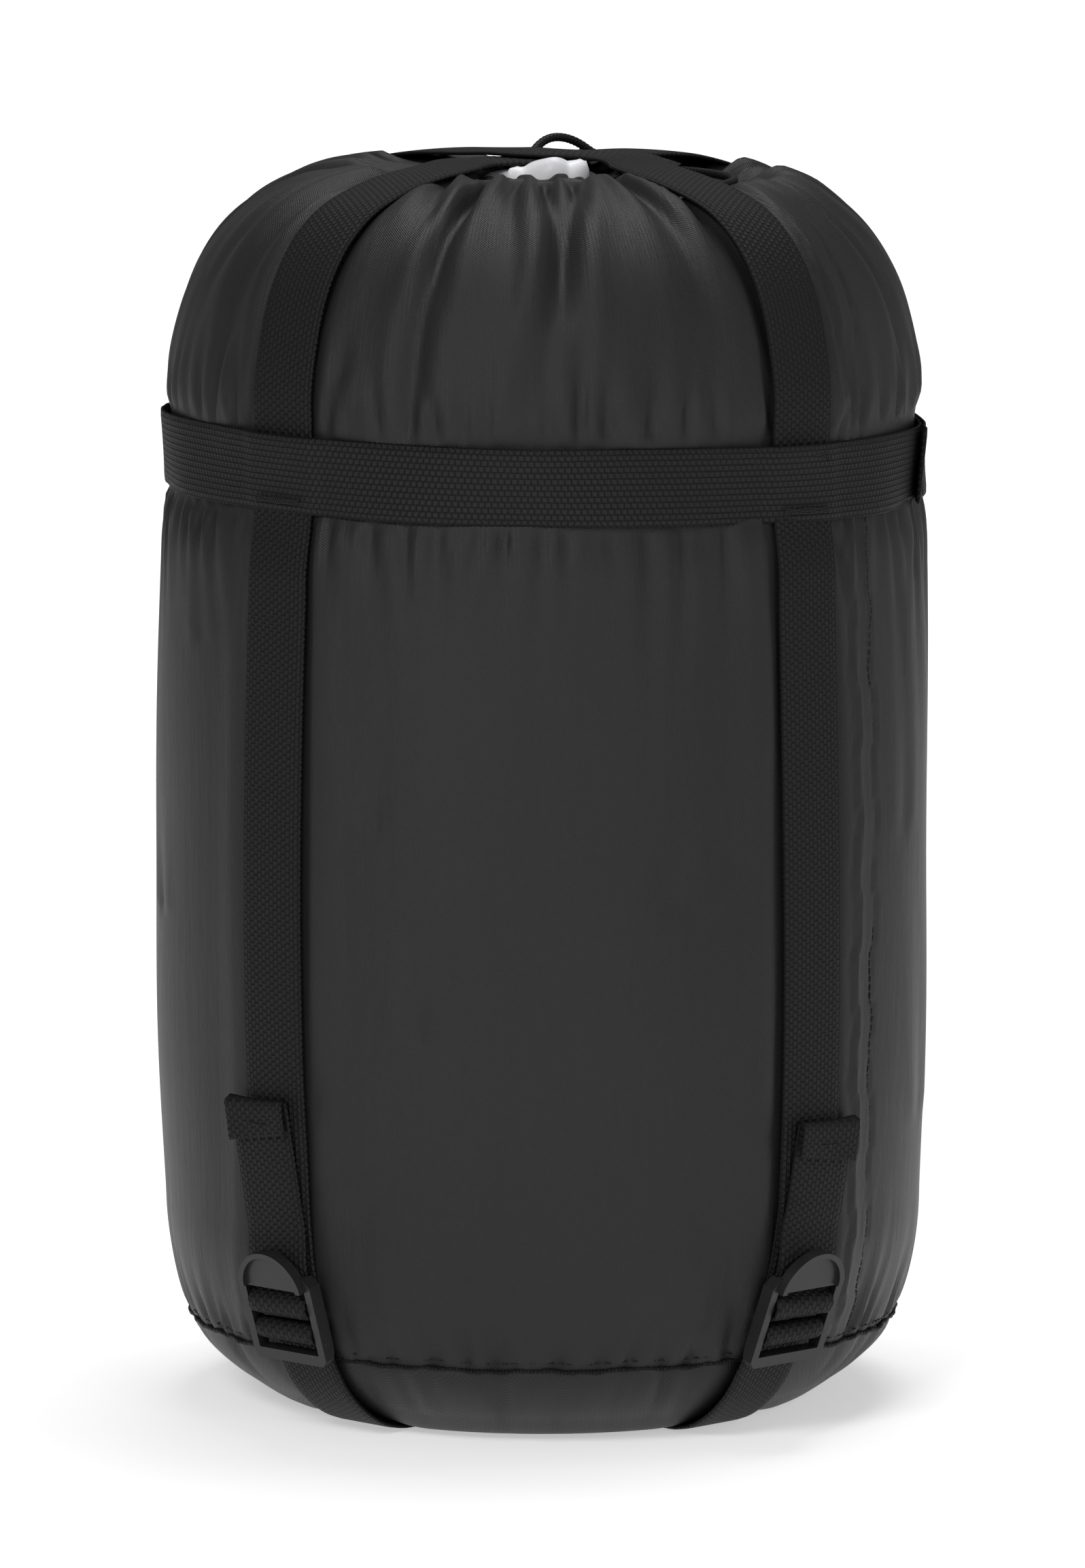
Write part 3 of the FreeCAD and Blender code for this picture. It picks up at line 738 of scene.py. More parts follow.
@dataclass
class SackForm:
    """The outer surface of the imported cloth, in millimetres, without its folds."""

    radius: float = 127.0
    wall_arc: float = 3000.0
    wall_mid: float = 180.0
    low_arc: float = 95.0
    round_top: float = 68.0
    seam: float = 28.0
    band: float = 315.0
    pinch: float = 122.2

    def wall(self, z: np.ndarray | float) -> Any:
        """Radius of the barrel wall at a height."""
        off = np.asarray(z, float) - self.wall_mid
        return self.radius - self.wall_arc + np.sqrt(self.wall_arc**2 - off**2)

    def low(self, z: np.ndarray | float) -> Any:
        """Radius of the round above the base seam at a height."""
        centre = float(self.wall(self.round_top)) - self.low_arc
        return centre + np.sqrt(self.low_arc**2 - (self.round_top - np.asarray(z, float)) ** 2)

    def outline(self) -> np.ndarray:
        """The line up the wall and over the shoulder, to where the hem begins.

        Returns:
            Radius and height, evenly spaced about 1 mm apart.
        """
        low = [(float(self.low(z)), z) for z in np.linspace(self.seam, self.round_top, 12)]
        wall = [(float(self.wall(z)), z) for z in np.linspace(76, self.band - 26, 20)]
        waist = [(self.pinch + 0.4, self.band - 14), (self.pinch, self.band),
                 (self.pinch + 0.1, self.band + 14)]
        crown = [(122.6, 340), (120.4, 353), (117.3, 365.5), (113.0, 375.5), (107.0, 384.6),
                 (100.2, 391.6), (92.4, 397.4), (83.0, 401.7), (73.0, 404.6), (62.0, 406.0)]
        return even_line(smooth_line(low + wall + waist + crown, 3), 1.0)


@dataclass
class Fold:
    """One crease in the cloth: where it starts, which way it runs and how it dies out."""

    azimuth: float
    start: float
    length: float
    depth: float
    width: float
    spread: float
    drift: float


@dataclass
class SackCloth:
    """The cloth tube from the base seam to the gathered hem, with every fold."""

    form: SackForm
    finishes: Finishes
    columns: int = 432
    rows: int = 214
    seed: int = 11
    outline: np.ndarray = field(init=False)
    gone: np.ndarray = field(init=False)
    band_at: float = field(init=False)

    def folds(self, length: float, hem: float) -> list[Fold]:
        """Choose the creases.

        Args:
            length: Length of the outline, from the base seam to the hem.
            hem: Where the hem is on it.

        Returns:
            The creases, each with its place along the outline.
        """
        rng = np.random.default_rng(self.seed)
        made: list[Fold] = []
        azimuth = -180.0
        while azimuth < 180.0:
            azimuth += rng.uniform(7.0, 15.0)
            reach = rng.uniform(110, 190) if rng.random() < 0.5 else rng.uniform(50, 90)
            made.append(Fold(azimuth, hem + 12, -reach, rng.uniform(2.4, 5.6),
                             rng.uniform(1.4, 2.6), rng.uniform(0.025, 0.06), rng.uniform(-17, 17)))
        gathers = ((self.band_at - 15.5, -1, 9, 46), (self.band_at + 15.5, 1, 9, 40),
                   (0.0, 1, 7, 34))
        for at, way, near, far in gathers:
            azimuth = -180.0
            while azimuth < 180.0:
                azimuth += rng.uniform(2.6, 7.0)
                made.append(Fold(azimuth, at, way * rng.uniform(near, far) * 1.5,
                                 rng.uniform(0.6, 2.0), rng.uniform(1.2, 2.4),
                                 rng.uniform(0.03, 0.09), rng.uniform(-3, 3)))
        for _ in range(46):
            made.append(Fold(rng.uniform(-180, 180), rng.uniform(60, length * 0.9),
                             rng.uniform(30, 95), rng.uniform(0.3, 0.9), rng.uniform(3.4, 7.0),
                             rng.uniform(0.0, 0.04), rng.uniform(-7, 7)))
        return made

    def build(self) -> bpy.types.Object:
        """Make the cloth and everything that shapes it.

        Returns:
            The cloth.
        """
        outline = self.outline = self.form.outline()
        gone = self.gone = distance_along(outline)
        self.band_at = float(np.interp(self.form.band, outline[:, 1], gone))
        body = even_line(outline, gone[-1] / (self.rows - 40))
        s = np.linspace(0.0, gone[-1], len(body))
        tangent = directions(body)
        normal = np.stack([tangent[:, 1], -tangent[:, 0]], axis=1)
        azimuth = np.linspace(-180.0, 180.0, self.columns, endpoint=False)
        az, place = np.meshgrid(azimuth, s)
        radius = np.repeat(body[:, :1], self.columns, axis=1)
        height = np.repeat(body[:, 1:], self.columns, axis=1)
        out = self.relief(az, place, radius, height, gone[-1])
        r = radius + out * np.repeat(normal[:, :1], self.columns, axis=1)
        z = height + out * np.repeat(normal[:, 1:], self.columns, axis=1)
        hem_r, hem_z, hem_s = self.hem(azimuth, r[-1], z[-1], gone[-1])
        r, z = np.vstack([r, hem_r]), np.vstack([z, hem_z])
        az = np.vstack([az, np.repeat(azimuth[None, :], len(hem_r), axis=0)])
        along = np.concatenate([s, hem_s])
        points = about_axis(r, np.radians(az), z).reshape(-1, 3) * MM
        faces = grid_faces(len(r), self.columns, True)
        uv = np.empty((len(faces) * 4, 2), np.float32)
        step = 2 * math.pi * self.form.radius / self.columns
        i, j = np.divmod(np.arange(len(faces)), self.columns)
        for corner, (di, dj) in enumerate(((0, 0), (0, 1), (1, 1), (1, 0))):
            uv[corner::4, 0] = (j + dj) * step
            uv[corner::4, 1] = along[i + di]
        piece = new_piece("sack_cloth_tube", points, faces, self.finishes.cloth, uv)
        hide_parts("wall_fabric", "crown_fabric", "mouth_hem", "side_seam")
        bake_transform(piece)
        return piece

    def relief(self, az: np.ndarray, place: np.ndarray, radius: np.ndarray, height: np.ndarray,
               length: float) -> np.ndarray:
        """How far the cloth stands out from its plain form.

        Args:
            az: Azimuth of each point, in degrees.
            place: Distance along the outline.
            radius: Plain radius.
            height: Plain height.
            length: Length of the outline.

        Returns:
            The distance out, in millimetres.
        """
        rng = np.random.default_rng(self.seed + 1)
        out = np.zeros_like(az)
        angle = np.radians(az)
        for _ in range(16):
            k, m = rng.integers(1, 8), rng.uniform(0.004, 0.020)
            out += rng.uniform(0.10, 0.30) * np.sin(k * angle + rng.uniform(0, 6.28)) * np.sin(
                place * m * 2 * math.pi / 2.2 + rng.uniform(0, 6.28))
        for strap in CORNERS.values():
            mm = np.radians(np.abs(turned(az, strap))) * radius
            high = ease(height, 325, 380)
            under = -(1.0 + 0.8 * high) * np.exp(-((mm / 13.2) ** 10))
            out += under + 1.1 * np.exp(-(((mm - 20) / 6.5) ** 2))
        squeeze = np.exp(-((place - self.band_at) / 15.5) ** 6)
        out = out * (1 - 0.85 * squeeze) - 0.7 * squeeze
        for fold in self.folds(length, length):
            run = (place - fold.start) / fold.length
            lit = np.clip(run, 0.0, None)
            fade = np.where(run < 0, np.exp(-(run * 14) ** 2), np.exp(-2.2 * lit**1.3))
            middle = fold.azimuth + fold.drift * np.clip(run, 0, 1.4)
            width = fold.width + fold.spread * np.abs(place - fold.start)
            mm = np.radians(turned(az, middle)) * np.maximum(radius, 26.0)
            lips = np.exp(-(((np.abs(mm) - 2.1 * width) / width) ** 2))
            shape = np.exp(-((mm / width) ** 2)) - 0.45 * lips
            sharp = np.exp(-np.abs(mm) / (0.8 * width)) * (0.45 if fold.width < 2.9 else 0.0)
            out -= fold.depth * fade * (shape + sharp) * (1 - 0.85 * squeeze)
        beside = np.radians(turned(az, SEAM_AZIMUTH)) * radius - seam_wander(place)
        ridge = np.exp(-((beside / 1.2) ** 2)) * 0.8 - np.exp(-(((beside + 3.0) / 1.2) ** 2)) * 0.9
        stitched = -0.7 * np.exp(-(((beside - SEAM_ROW) / 0.9) ** 2))
        out += (ridge + stitched) * ease(place, 2, 14) * (1 - ease(place, length - 60, length - 10))
        out *= 1 - 0.8 * np.exp(-((place / 3.0) ** 2))
        hollow = slack_side(az)
        out -= hollow * 9.0 * ease(-radius, -80, -66)
        rim = 1.6 * hollow * np.exp(-(((radius - 86) / 7.0) ** 2))
        out += rim * (0.6 + 0.4 * np.sin(az * 0.31))
        for strap in CORNERS.values():
            mm = np.radians(np.abs(turned(az, strap))) * radius
            out = np.minimum(out, 3.0 * ease(mm, 12.3, 17.0) - 0.95)
        return out

    def hem(self, azimuth: np.ndarray, r0: np.ndarray, z0: np.ndarray, length: float
            ) -> tuple[np.ndarray, np.ndarray, np.ndarray]:
        """The gathered hem: in from the crown, up, over and down into the mouth.

        Args:
            azimuth: Azimuths of the columns, in degrees.
            r0: Radius of the crown's last row.
            z0: Height of the crown's last row.
            length: Distance along the outline of that row.

        Returns:
            Radius and height by row and column, and the distance along of each row.
        """
        a = np.radians(azimuth)
        rng = np.random.default_rng(self.seed + 2)
        ruffle = np.zeros_like(a)
        for k, size in ((11, 0.9), (17, 1.0), (23, 0.55), (29, 0.35)):
            ruffle += size * np.sin(k * a + rng.uniform(0, 6.28) + 0.9 * np.sin(3 * a + k))
        ruffle = np.tanh(ruffle * 0.9)
        hollow = slack_side(azimuth)
        floor = 405.0 - 9.6 * hollow
        steps = (
            (54.0, floor, 0.30, 0.0), (47.0, floor - 0.4, 0.5, 0.3), (40.0, floor - 0.9, 0.8, 0.8),
            (35.0, floor - 1.2 + 3.0 * hollow, 1.3, 1.2), (31.8, 401.2, 1.7, 1.3),
            (30.2, 402.9, 2.3, 1.6), (28.0, 404.2, 2.5, 1.7), (25.4, 403.9, 2.4, 1.5),
            (23.6, 402.8, 2.0, 1.0), (22.8, 399.0, 1.5, 0.5), (22.4, 394.0, 1.0, 0.0),
        )
        ripple = ruffle * 0.8 + 0.25 * np.sin(5 * a + 1.0)
        fine = np.linspace(0.0, 1.0, 41)[1:]

        def between(rows: list[np.ndarray]) -> np.ndarray:
            """Rows at even steps through the given ones, softened along the cloth.

            Args:
                rows: A value for each column, row by row.

            Returns:
                The finer rows, without the first.
            """
            table, knots = np.array(rows), np.linspace(0.0, 1.0, len(rows))
            made = np.stack([np.interp(fine, knots, column) for column in table.T], axis=1)
            for _ in range(3):
                made[1:-1] = (made[:-2] + 2 * made[1:-1] + made[2:]) / 4
            return made

        r = between([r0] + [radius + swing * ruffle * 1.1 for radius, _, swing, _ in steps])
        z = between([z0] + [level + rise * ripple for _, level, _, rise in steps])
        return r, z, length + fine * 66.0


@dataclass
class BaseCloth:
    """The round base panel, bulging under the load, and the bound seam round it."""

    form: SackForm
    finishes: Finishes
    columns: int = 288

    def build(self) -> list[bpy.types.Object]:
        """Make the panel and its seam.

        Returns:
            Both pieces.
        """
        outline = [(0.0, 4.2), (40, 3.9), (70, 3.0), (83, 3.2), (94, 5.8), (103, 11.2),
                   (110.5, 17.8), (115.0, 23.6), (116.4, 27.6)]
        line = even_line(smooth_line(outline, 3), 2.2)
        azimuth = np.linspace(-180.0, 180.0, self.columns, endpoint=False)
        az = np.radians(azimuth)[None, :]
        r, z = line[:, :1] + 0 * az, line[:, 1:] + 0 * az
        sag = 2.4 * ease(r, 8, 30) * (1 - ease(r, 86, 100))
        for strap in CORNERS.values():
            off = np.radians(np.minimum(np.abs(turned(azimuth, strap)), 90))[None, :]
            sag = sag * (1 - np.exp(-((np.sin(off) * r / 17.0) ** 4)))
        rng = np.random.default_rng(5)
        pucker = np.zeros_like(r)
        for _ in range(90):
            at, wide, deep = rng.uniform(-180, 180), rng.uniform(1.6, 3.4), rng.uniform(0.5, 1.5)
            mm = np.radians(turned(azimuth, at))[None, :] * np.maximum(r, 20)
            fade = np.exp(-(((116 - r) / rng.uniform(6, 16)) ** 2))
            pucker += deep * np.exp(-((mm / wide) ** 2)) * fade
        z = z - sag + pucker * 0.8
        r = r - pucker * 0.6 * ease(r, 60, 100)
        points = np.vstack([[[0, 0, 4.2]], about_axis(r, az, z)[1:].reshape(-1, 3)]) * MM
        faces: list[Sequence[int]] = [(1 + j, 1 + (j + 1) % self.columns, 0)
                                      for j in range(self.columns)]
        faces += [tuple(1 + v for v in f) for f in grid_faces(len(r) - 1, self.columns, True)]
        uv = []
        for face in faces:
            uv += [(points[v][0] * 1000, points[v][1] * 1000) for v in face]
        panel = new_piece("base_cloth", points, faces, self.finishes.cloth, np.array(uv))
        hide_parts("base_panel")
        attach(panel, "base")
        return [panel, self.binding()]

    def binding(self) -> bpy.types.Object:
        """The rolled edge of the base seam, a slightly lumpy cord of cloth.

        Returns:
            The piece.
        """
        count, around = 720, 10
        a = np.linspace(0, 2 * math.pi, count, endpoint=False)
        middle = 116.5 + 0.2 * np.sin(37 * a) + 0.15 * np.sin(61 * a + 1)
        level = 28.0 + 0.35 * np.sin(23 * a + 2) + 0.2 * np.sin(71 * a)
        thick = 0.75 + 0.08 * np.sin(97 * a) + 0.05 * np.sin(173 * a)
        turn = np.linspace(0, 2 * math.pi, around, endpoint=False)
        r = middle[:, None] + thick[:, None] * np.cos(turn)[None, :]
        z = level[:, None] + thick[:, None] * np.sin(turn)[None, :]
        points = about_axis(r, a[:, None], z).reshape(-1, 3) * MM
        faces, uv = [], []
        for i in range(count):
            for j in range(around):
                i2, j2 = (i + 1) % count, (j + 1) % around
                faces.append((i * around + j, i2 * around + j, i2 * around + j2, i * around + j2))
                uv += [(i * 1.01, j * 0.7), ((i + 1) * 1.01, j * 0.7),
                       ((i + 1) * 1.01, (j + 1) * 0.7), (i * 1.01, (j + 1) * 0.7)]
        piece = new_piece("base_seam_binding", points, faces, self.finishes.fine, np.array(uv))
        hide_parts("base_seam")
        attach(piece, "base")
        return piece


@dataclass
class Bedding:
    """What is packed: a soft mass that fills the cloth and swells up through the mouth."""

    form: SackForm
    finishes: Finishes

    def build(self) -> bpy.types.Object:
        """Make the mass.

        Returns:
            The piece.
        """
        columns = 160
        azimuth = np.linspace(-math.pi, math.pi, columns, endpoint=False)
        low = [(0.0, 7.0), (60, 7.0), (80, 8.0), (98, 14), (110, 24), (117.5, 42), (120.5, 60)]
        wall = [(float(self.form.wall(z)) - 4.5, z) for z in (80, 120, 180, 240, 285)]
        crown = [(117.2, 302), (117.0, 315), (117.2, 328), (117.6, 342), (115.2, 356),
                 (110.5, 368), (102, 380), (92, 388), (78, 390.5), (60, 389.0), (42, 389.0),
                 (30, 390.5), (22.5, 393.5)]
        puff = [(22.0, 397.5), (21.8, 402.6), (20.6, 405.2), (16.5, 406.4), (9.0, 406.6),
                (0.0, 406.6)]
        line = even_line(smooth_line(low + wall + crown + puff, 3), 2.4)
        a = azimuth[None, :]
        r, z = line[:, :1] + 0 * a, line[:, 1:] + 0 * a
        top = ease(z, 394.0, 400.0) * (r < 40)
        x, y = r * np.sin(a), -r * np.cos(a)
        lobes = ((3.0, -18.5, 6.5, 4.6), (13.0, -18.0, 7.5, 4.4), (-12.0, -17.0, 5.0, 3.6),
                 (0.0, 15.0, 8.0, 1.2))
        lift = np.zeros_like(x)
        for cx, cy, wide, tall in lobes:
            lift = np.maximum(lift, tall * np.exp(-(((x - cx) ** 2 + (y - cy) ** 2) / wide**2)))
        crease = 1.1 * np.sin(0.55 * x + 0.20 * y + 0.6) * np.sin(0.32 * y - 0.14 * x)
        z = z - top * 2.6 * ease(y, -12.0, -3.0) * ease(r, 3.0, 9.0)
        pressed = np.ones_like(x)
        for name, corner in FRONT_END.items():
            s, o = side_dir(CORNERS[corner]), out_dir(CORNERS[corner])
            off = np.abs(x * s[0] + y * s[1] - cross_bow(name, x * o[0] + y * o[1]))
            pressed = np.minimum(pressed, ease(off, 12.2, 15.0))
        swell = lift * (0.12 + 0.88 * pressed) - 0.9 * (1 - pressed) + 0.5 * crease * pressed
        z = z + top * swell
        r = r + top * (0.55 * lift * pressed + 0.7 * np.sin(5 * a + 0.4)) * ease(r, 8, 18)
        body = about_axis(r, a, z)[1:-1].reshape(-1, 3)
        points = np.vstack([[[0.0, 0.0, 7.0]], body, [[0.0, 0.0, float(z[-1].mean())]]]) * MM
        rows = len(r) - 2
        faces: list[Sequence[int]] = [(1 + j, 1 + (j + 1) % columns, 0) for j in range(columns)]
        faces += [tuple(1 + v for v in f) for f in grid_faces(rows, columns, True)]
        first = 1 + (rows - 1) * columns
        faces += [(first + j, first + (j + 1) % columns, len(points) - 1) for j in range(columns)]
        piece = new_piece("packed_bedding", points, faces, self.finishes.bedding)
        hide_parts("contents_body", "contents_crown")
        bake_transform(piece)
        return piece


# ------------------------------------------------------------------ webbing


@dataclass
class Strip:
    """A length of webbing along a line, with rounded, scalloped edges."""

    name: str
    line: np.ndarray
    normals: np.ndarray
    across: np.ndarray
    material: bpy.types.Material
    width: float = 25.0
    thick: float = 1.5
    crown: float = 0.0
    columns: int = 9
    closed: bool = False

    def build(self) -> bpy.types.Object:
        """Make the strip as a closed mesh.

        Returns:
            The piece.
        """
        n, m = len(self.line), self.columns
        steps = np.linspace(-1.0, 1.0, m)
        gone = distance_along(self.line)
        scallop = 0.22 * np.sin(gone * 2 * math.pi / 1.9)
        half = self.width / 2 + scallop
        ring = [(1.0, 0.0)] + [(t, 0.5) for t in steps[::-1]]
        ring += [(-1.0, 0.0)] + [(t, -0.5) for t in steps]
        u_mm: list[float] = []
        rows = np.empty((n, len(ring), 3))
        for k, (t, level) in enumerate(ring):
            inset = 0.35 if abs(t) == 1.0 and level else 0.0
            spot = t * (half - inset)
            flat = self.thick * level * (0.72 if abs(t) == 1.0 else 1.0)
            rise = flat - spot**2 * self.crown
            rows[:, k] = self.line + self.across * spot[:, None] + self.normals * rise[:, None]
            u_mm.append(12.5 + t * self.width / 2)
        count = len(ring)
        points = rows.reshape(-1, 3) * MM
        faces, uv = [], []
        last = n if self.closed else n - 1
        for i in range(last):
            i2 = (i + 1) % n
            v0 = gone[i]
            v1 = gone[i + 1] if i + 1 < n else gone[i] + (gone[1] - gone[0])
            for k in range(count):
                k2 = (k + 1) % count
                faces.append((i * count + k, i * count + k2, i2 * count + k2, i2 * count + k))
                uv += [(u_mm[k], v0), (u_mm[k2], v0), (u_mm[k2], v1), (u_mm[k], v1)]
        if not self.closed:
            faces.append(tuple(reversed(range(count))))
            uv += [(u_mm[k], gone[0]) for k in reversed(range(count))]
            faces.append(tuple((n - 1) * count + k for k in range(count)))
            uv += [(u_mm[k], gone[-1]) for k in range(count)]
        piece = new_piece(self.name, points, faces, self.material, np.array(uv))
        return piece


def lean_aside(corner: str, height: np.ndarray | float) -> Any:
    """Sideways shift of a front corner's buckle and the webbing on it, in millimetres.

    Args:
        corner: Which corner.
        height: Heights of the points.

    Returns:
        The shift along the buckle's own bars, positive to the right.
    """
    below = {"front_right": -0.20, "front_left": 0.09}.get(corner, 0.0)
    above = np.maximum(0.0, 80.0 - np.maximum(np.asarray(height, float), 24.0))
    soft = above**2 / (above + 8.0)
    return below * soft + (1.2 if corner == "front_left" else 0.0) * (1 - ease(height, 70, 130))


def upright_strip(name: str, azimuth: float, path: Sequence[Sequence[float]],
                  material: bpy.types.Material,
                  lateral: Callable[[np.ndarray], np.ndarray] | None = None,
                  crown: float = 1 / 254, step: float = 0.75) -> Strip:
    """A strip whose line lies in an upright plane through the sack's axis.

    Args:
        name: The piece's name.
        azimuth: The plane's azimuth, in degrees.
        path: Distance out, and height, of the line's corners.
        material: The finish.
        lateral: Sideways shift against height, in millimetres.
        crown: Curvature across, per millimetre, halved.
        step: Spacing of the rows.

    Returns:
        The strip, not yet built.
    """
    line = even_line(smooth_line(path, 3), step)
    tangent = directions(line)
    o, s = out_dir(azimuth), side_dir(azimuth)
    up = np.array([0.0, 0.0, 1.0])
    points = line[:, :1] * o + line[:, 1:] * up
    normals = tangent[:, 1:] * o - tangent[:, :1] * up
    across = np.repeat(s[None, :], len(line), axis=0)
    if lateral is not None:
        shift = lateral(line[:, 1])
        points = points + shift[:, None] * s
        lean = directions(points)
        across = across - (across * lean).sum(1)[:, None] * lean
        across /= np.linalg.norm(across, axis=1)[:, None]
    return Strip(name, points, normals, across, material, crown=crown)


@dataclass
class Straps:
    """All the webbing: over the top, down the sides, round the buckles and under the base."""

    form: SackForm
    finishes: Finishes
    hinge_out: float = 125.546
    hinge_up: float = 37.71
    lean: float = 13.0
    pitch: float = 9.0

    def buckle_point(self, out: float, up: float) -> tuple[float, float]:
        """A point of the upright plane, from a buckle's own frame.

        Args:
            out: Distance outwards from the lower bar.
            up: Distance up the buckle from the lower bar.

        Returns:
            Distance out from the sack's axis, and height.
        """
        c, s = math.cos(math.radians(self.lean)), math.sin(math.radians(self.lean))
        return self.hinge_out + out * c + up * s, self.hinge_up - out * s + up * c

    def wall_path(self, start: float, end: float, off: float) -> list[tuple[float, float]]:
        """Corners of a line up the wall.

        Args:
            start: Height of the first.
            end: Height that the last stays under.
            off: Distance outwards from the cloth.

        Returns:
            The distance out, and height, of each.
        """
        path = []
        for z in np.arange(start, end, 7.0):
            r = self.form.low(z) if z < self.form.round_top else self.form.wall(z)
            path.append((float(r) + off, float(z)))
        return path

    def leg(self, corner: str, azimuth: float) -> bpy.types.Object:
        """One strap down the wall, from under the band to its buckle.

        Args:
            corner: Which corner.
            azimuth: Its azimuth.

        Returns:
            The piece.
        """
        path = [self.buckle_point(-4.0, 10.0)] + self.wall_path(54, self.form.band - 28, 1.25)
        pinch, band = self.form.pinch, self.form.band
        path += [(pinch + 1.0, band - 14), (pinch + 0.4, band - 0.4)]
        wave = math.radians(azimuth * 7)

        def aside(z: np.ndarray) -> np.ndarray:
            """The leg's own slight wander, and its buckle's lean."""
            wander = 0.8 * np.sin(z * 0.021 + wave) * ease(z, 60, 110) * (1 - ease(z, 270, 300))
            return wander + lean_aside(corner, z)

        piece = upright_strip(f"leg_webbing_{corner}", azimuth, path, self.finishes.ribbed,
                              aside).build()
        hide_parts(f"leg_strap_{corner}")
        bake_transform(piece)
        return piece

    def wrap(self, corner: str, azimuth: float) -> bpy.types.Object:
        """The strap where it goes under, round and over a buckle's upper bar.

        Args:
            corner: Which corner.
            azimuth: Its azimuth.

        Returns:
            The piece.
        """
        p = self.pitch
        path = [self.buckle_point(o, u) for o, u in (
            (-3.9, p + 8.5), (-3.6, p + 4), (-3.25, p), (-2.9, p - 2.6), (-0.9, p - 3.5),
            (1.2, p - 3.3), (3.0, p - 1.8), (3.2, p + 0.4), (2.6, p + 2.4), (0.8, p + 3.6),
            (-0.8, p + 5.2), (-1.4, p + 9.0))]
        piece = upright_strip(f"wrap_webbing_{corner}", azimuth, path, self.finishes.ribbed,
                              lambda z: lean_aside(corner, z), crown=0.0, step=0.6).build()
        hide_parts(f"strap_wrap_{corner}")
        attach(piece, f"buckle_{corner}")
        return piece

    def tail(self, corner: str, azimuth: float, top: float, shift: float) -> bpy.types.Object:
        """The loose end above a buckle, folded over and sewn at its tip.

        Args:
            corner: Which corner.
            azimuth: Its azimuth.
            top: Height of its tip.
            shift: How far its tip leans to the side.

        Returns:
            The piece.
        """
        path = [self.buckle_point(-1.3, self.pitch + 6.5),
                self.buckle_point(-0.9, self.pitch + 14.0)]
        path += self.wall_path(70, top - 6, 3.5)
        r = float(self.form.wall(top))
        path += [(r + 3.5, top - 3), (r + 3.8, top), (r + 4.8, top + 0.2), (r + 5.3, top - 1.8),
                 (r + 5.1, top - 6), (r + 5.0, top - 11.5)]
        piece = upright_strip(f"tail_webbing_{corner}", azimuth, path, self.finishes.ribbed,
                              lambda z: shift * ease(z, 60, top + 12) + lean_aside(corner, z),
                              step=0.6).build()
        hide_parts(f"tail_{corner}")
        o = out_dir(azimuth) * self.form.radius * MM
        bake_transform(piece)
        return piece

    def bottom(self, name: str, azimuth: float, lift: float) -> bpy.types.Object:
        """A strap under the base, looped at both ends round the lower bars.

        Args:
            name: Which of the two.
            azimuth: Azimuth of its front end.
            lift: How far it rises over the other strap.

        Returns:
            The piece.
        """
        side = [self.buckle_point(o, u) for o, u in (
            (-2.2, -2.6), (-0.4, -3.2), (1.8, -2.6), (3.1, -0.6), (2.6, 1.8), (0.6, 3.1),
            (-1.8, 2.7), (-3.3, 0.8), (-3.7, -2.0))]
        side += [(float(self.form.low(z)) + off, z)
                 for z, off in ((33.0, 1.6), (29.0, 2.3), (25.5, 2.6))]
        side += [(112.6, 17.4), (105.0, 10.0), (96.0, 4.4), (87.0, 1.7), (79.0, 0.9),
                 (60.0, 0.8), (24.0, 0.8), (17.0, 0.8 + lift * 0.3), (12.0, 0.8 + lift)]
        path = side + [(-x, z) for x, z in reversed(side)]
        strip = upright_strip(f"bottom_webbing_{name}", azimuth, path, self.finishes.ribbed,
                              crown=0.0)
        ahead = strip.line @ out_dir(azimuth)
        aside = lean_aside(FRONT_END[name], strip.line[:, 2]) * ease(ahead, 30, 112)
        strip.line = strip.line + aside[:, None] * side_dir(azimuth)
        strip.normals = -strip.normals
        strip.across = -strip.across
        piece = strip.build()
        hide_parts(f"bottom_strap_{name}")
        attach(piece, "base")
        return piece

    def cross(self, name: str, azimuth: float, lift: float) -> bpy.types.Object:
        """A strap over the top, from under the band on one side to the other.

        Args:
            name: Which of the two.
            azimuth: Azimuth of its front end.
            lift: How far it rises over the other strap.

        Returns:
            The piece.
        """
        pinch, band = self.form.pinch, self.form.band
        side = [(pinch + 0.4, band + 0.6), (pinch + 0.6, band + 14), (123.4, 341), (121.2, 354),
                (118.0, 366.6), (113.6, 376.6), (107.4, 385.7), (100.3, 392.4), (92.2, 397.7),
                (82.4, 401.4), (72.0, 404.2), (62.0, 406.2), (50.0, 407.4 + 0.2 * lift),
                (34.0, 407.8 + 0.4 * lift), (22.0, 407.9 + 0.7 * lift), (14.0, 407.9 + lift),
                (6.0, 407.9 + lift)]
        path = side + [(-x, z) for x, z in reversed(side)]
        strip = upright_strip(f"cross_webbing_{name}", azimuth, path, self.finishes.ribbed,
                              crown=1 / 520)
        bow = cross_bow(name, strip.line @ out_dir(azimuth))
        strip.line = strip.line + bow[:, None] * side_dir(azimuth)
        piece = strip.build()
        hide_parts(f"cross_strap_{name}")
        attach(piece, "crown")
        return piece

    def build(self) -> list[bpy.types.Object]:
        """Make every strap.

        Returns:
            The pieces.
        """
        made = []
        for corner, azimuth in CORNERS.items():
            made.append(self.leg(corner, azimuth))
            made.append(self.wrap(corner, azimuth))
            shift = TAIL_LEAN if corner.endswith("right") else -TAIL_LEAN
            made.append(self.tail(corner, azimuth, TAIL_TOP[corner], shift))
        for make in (self.bottom, self.cross):
            for name, corner in FRONT_END.items():
                made.append(make(name, CORNERS[corner], LIFT_OVER[name]))
        return made


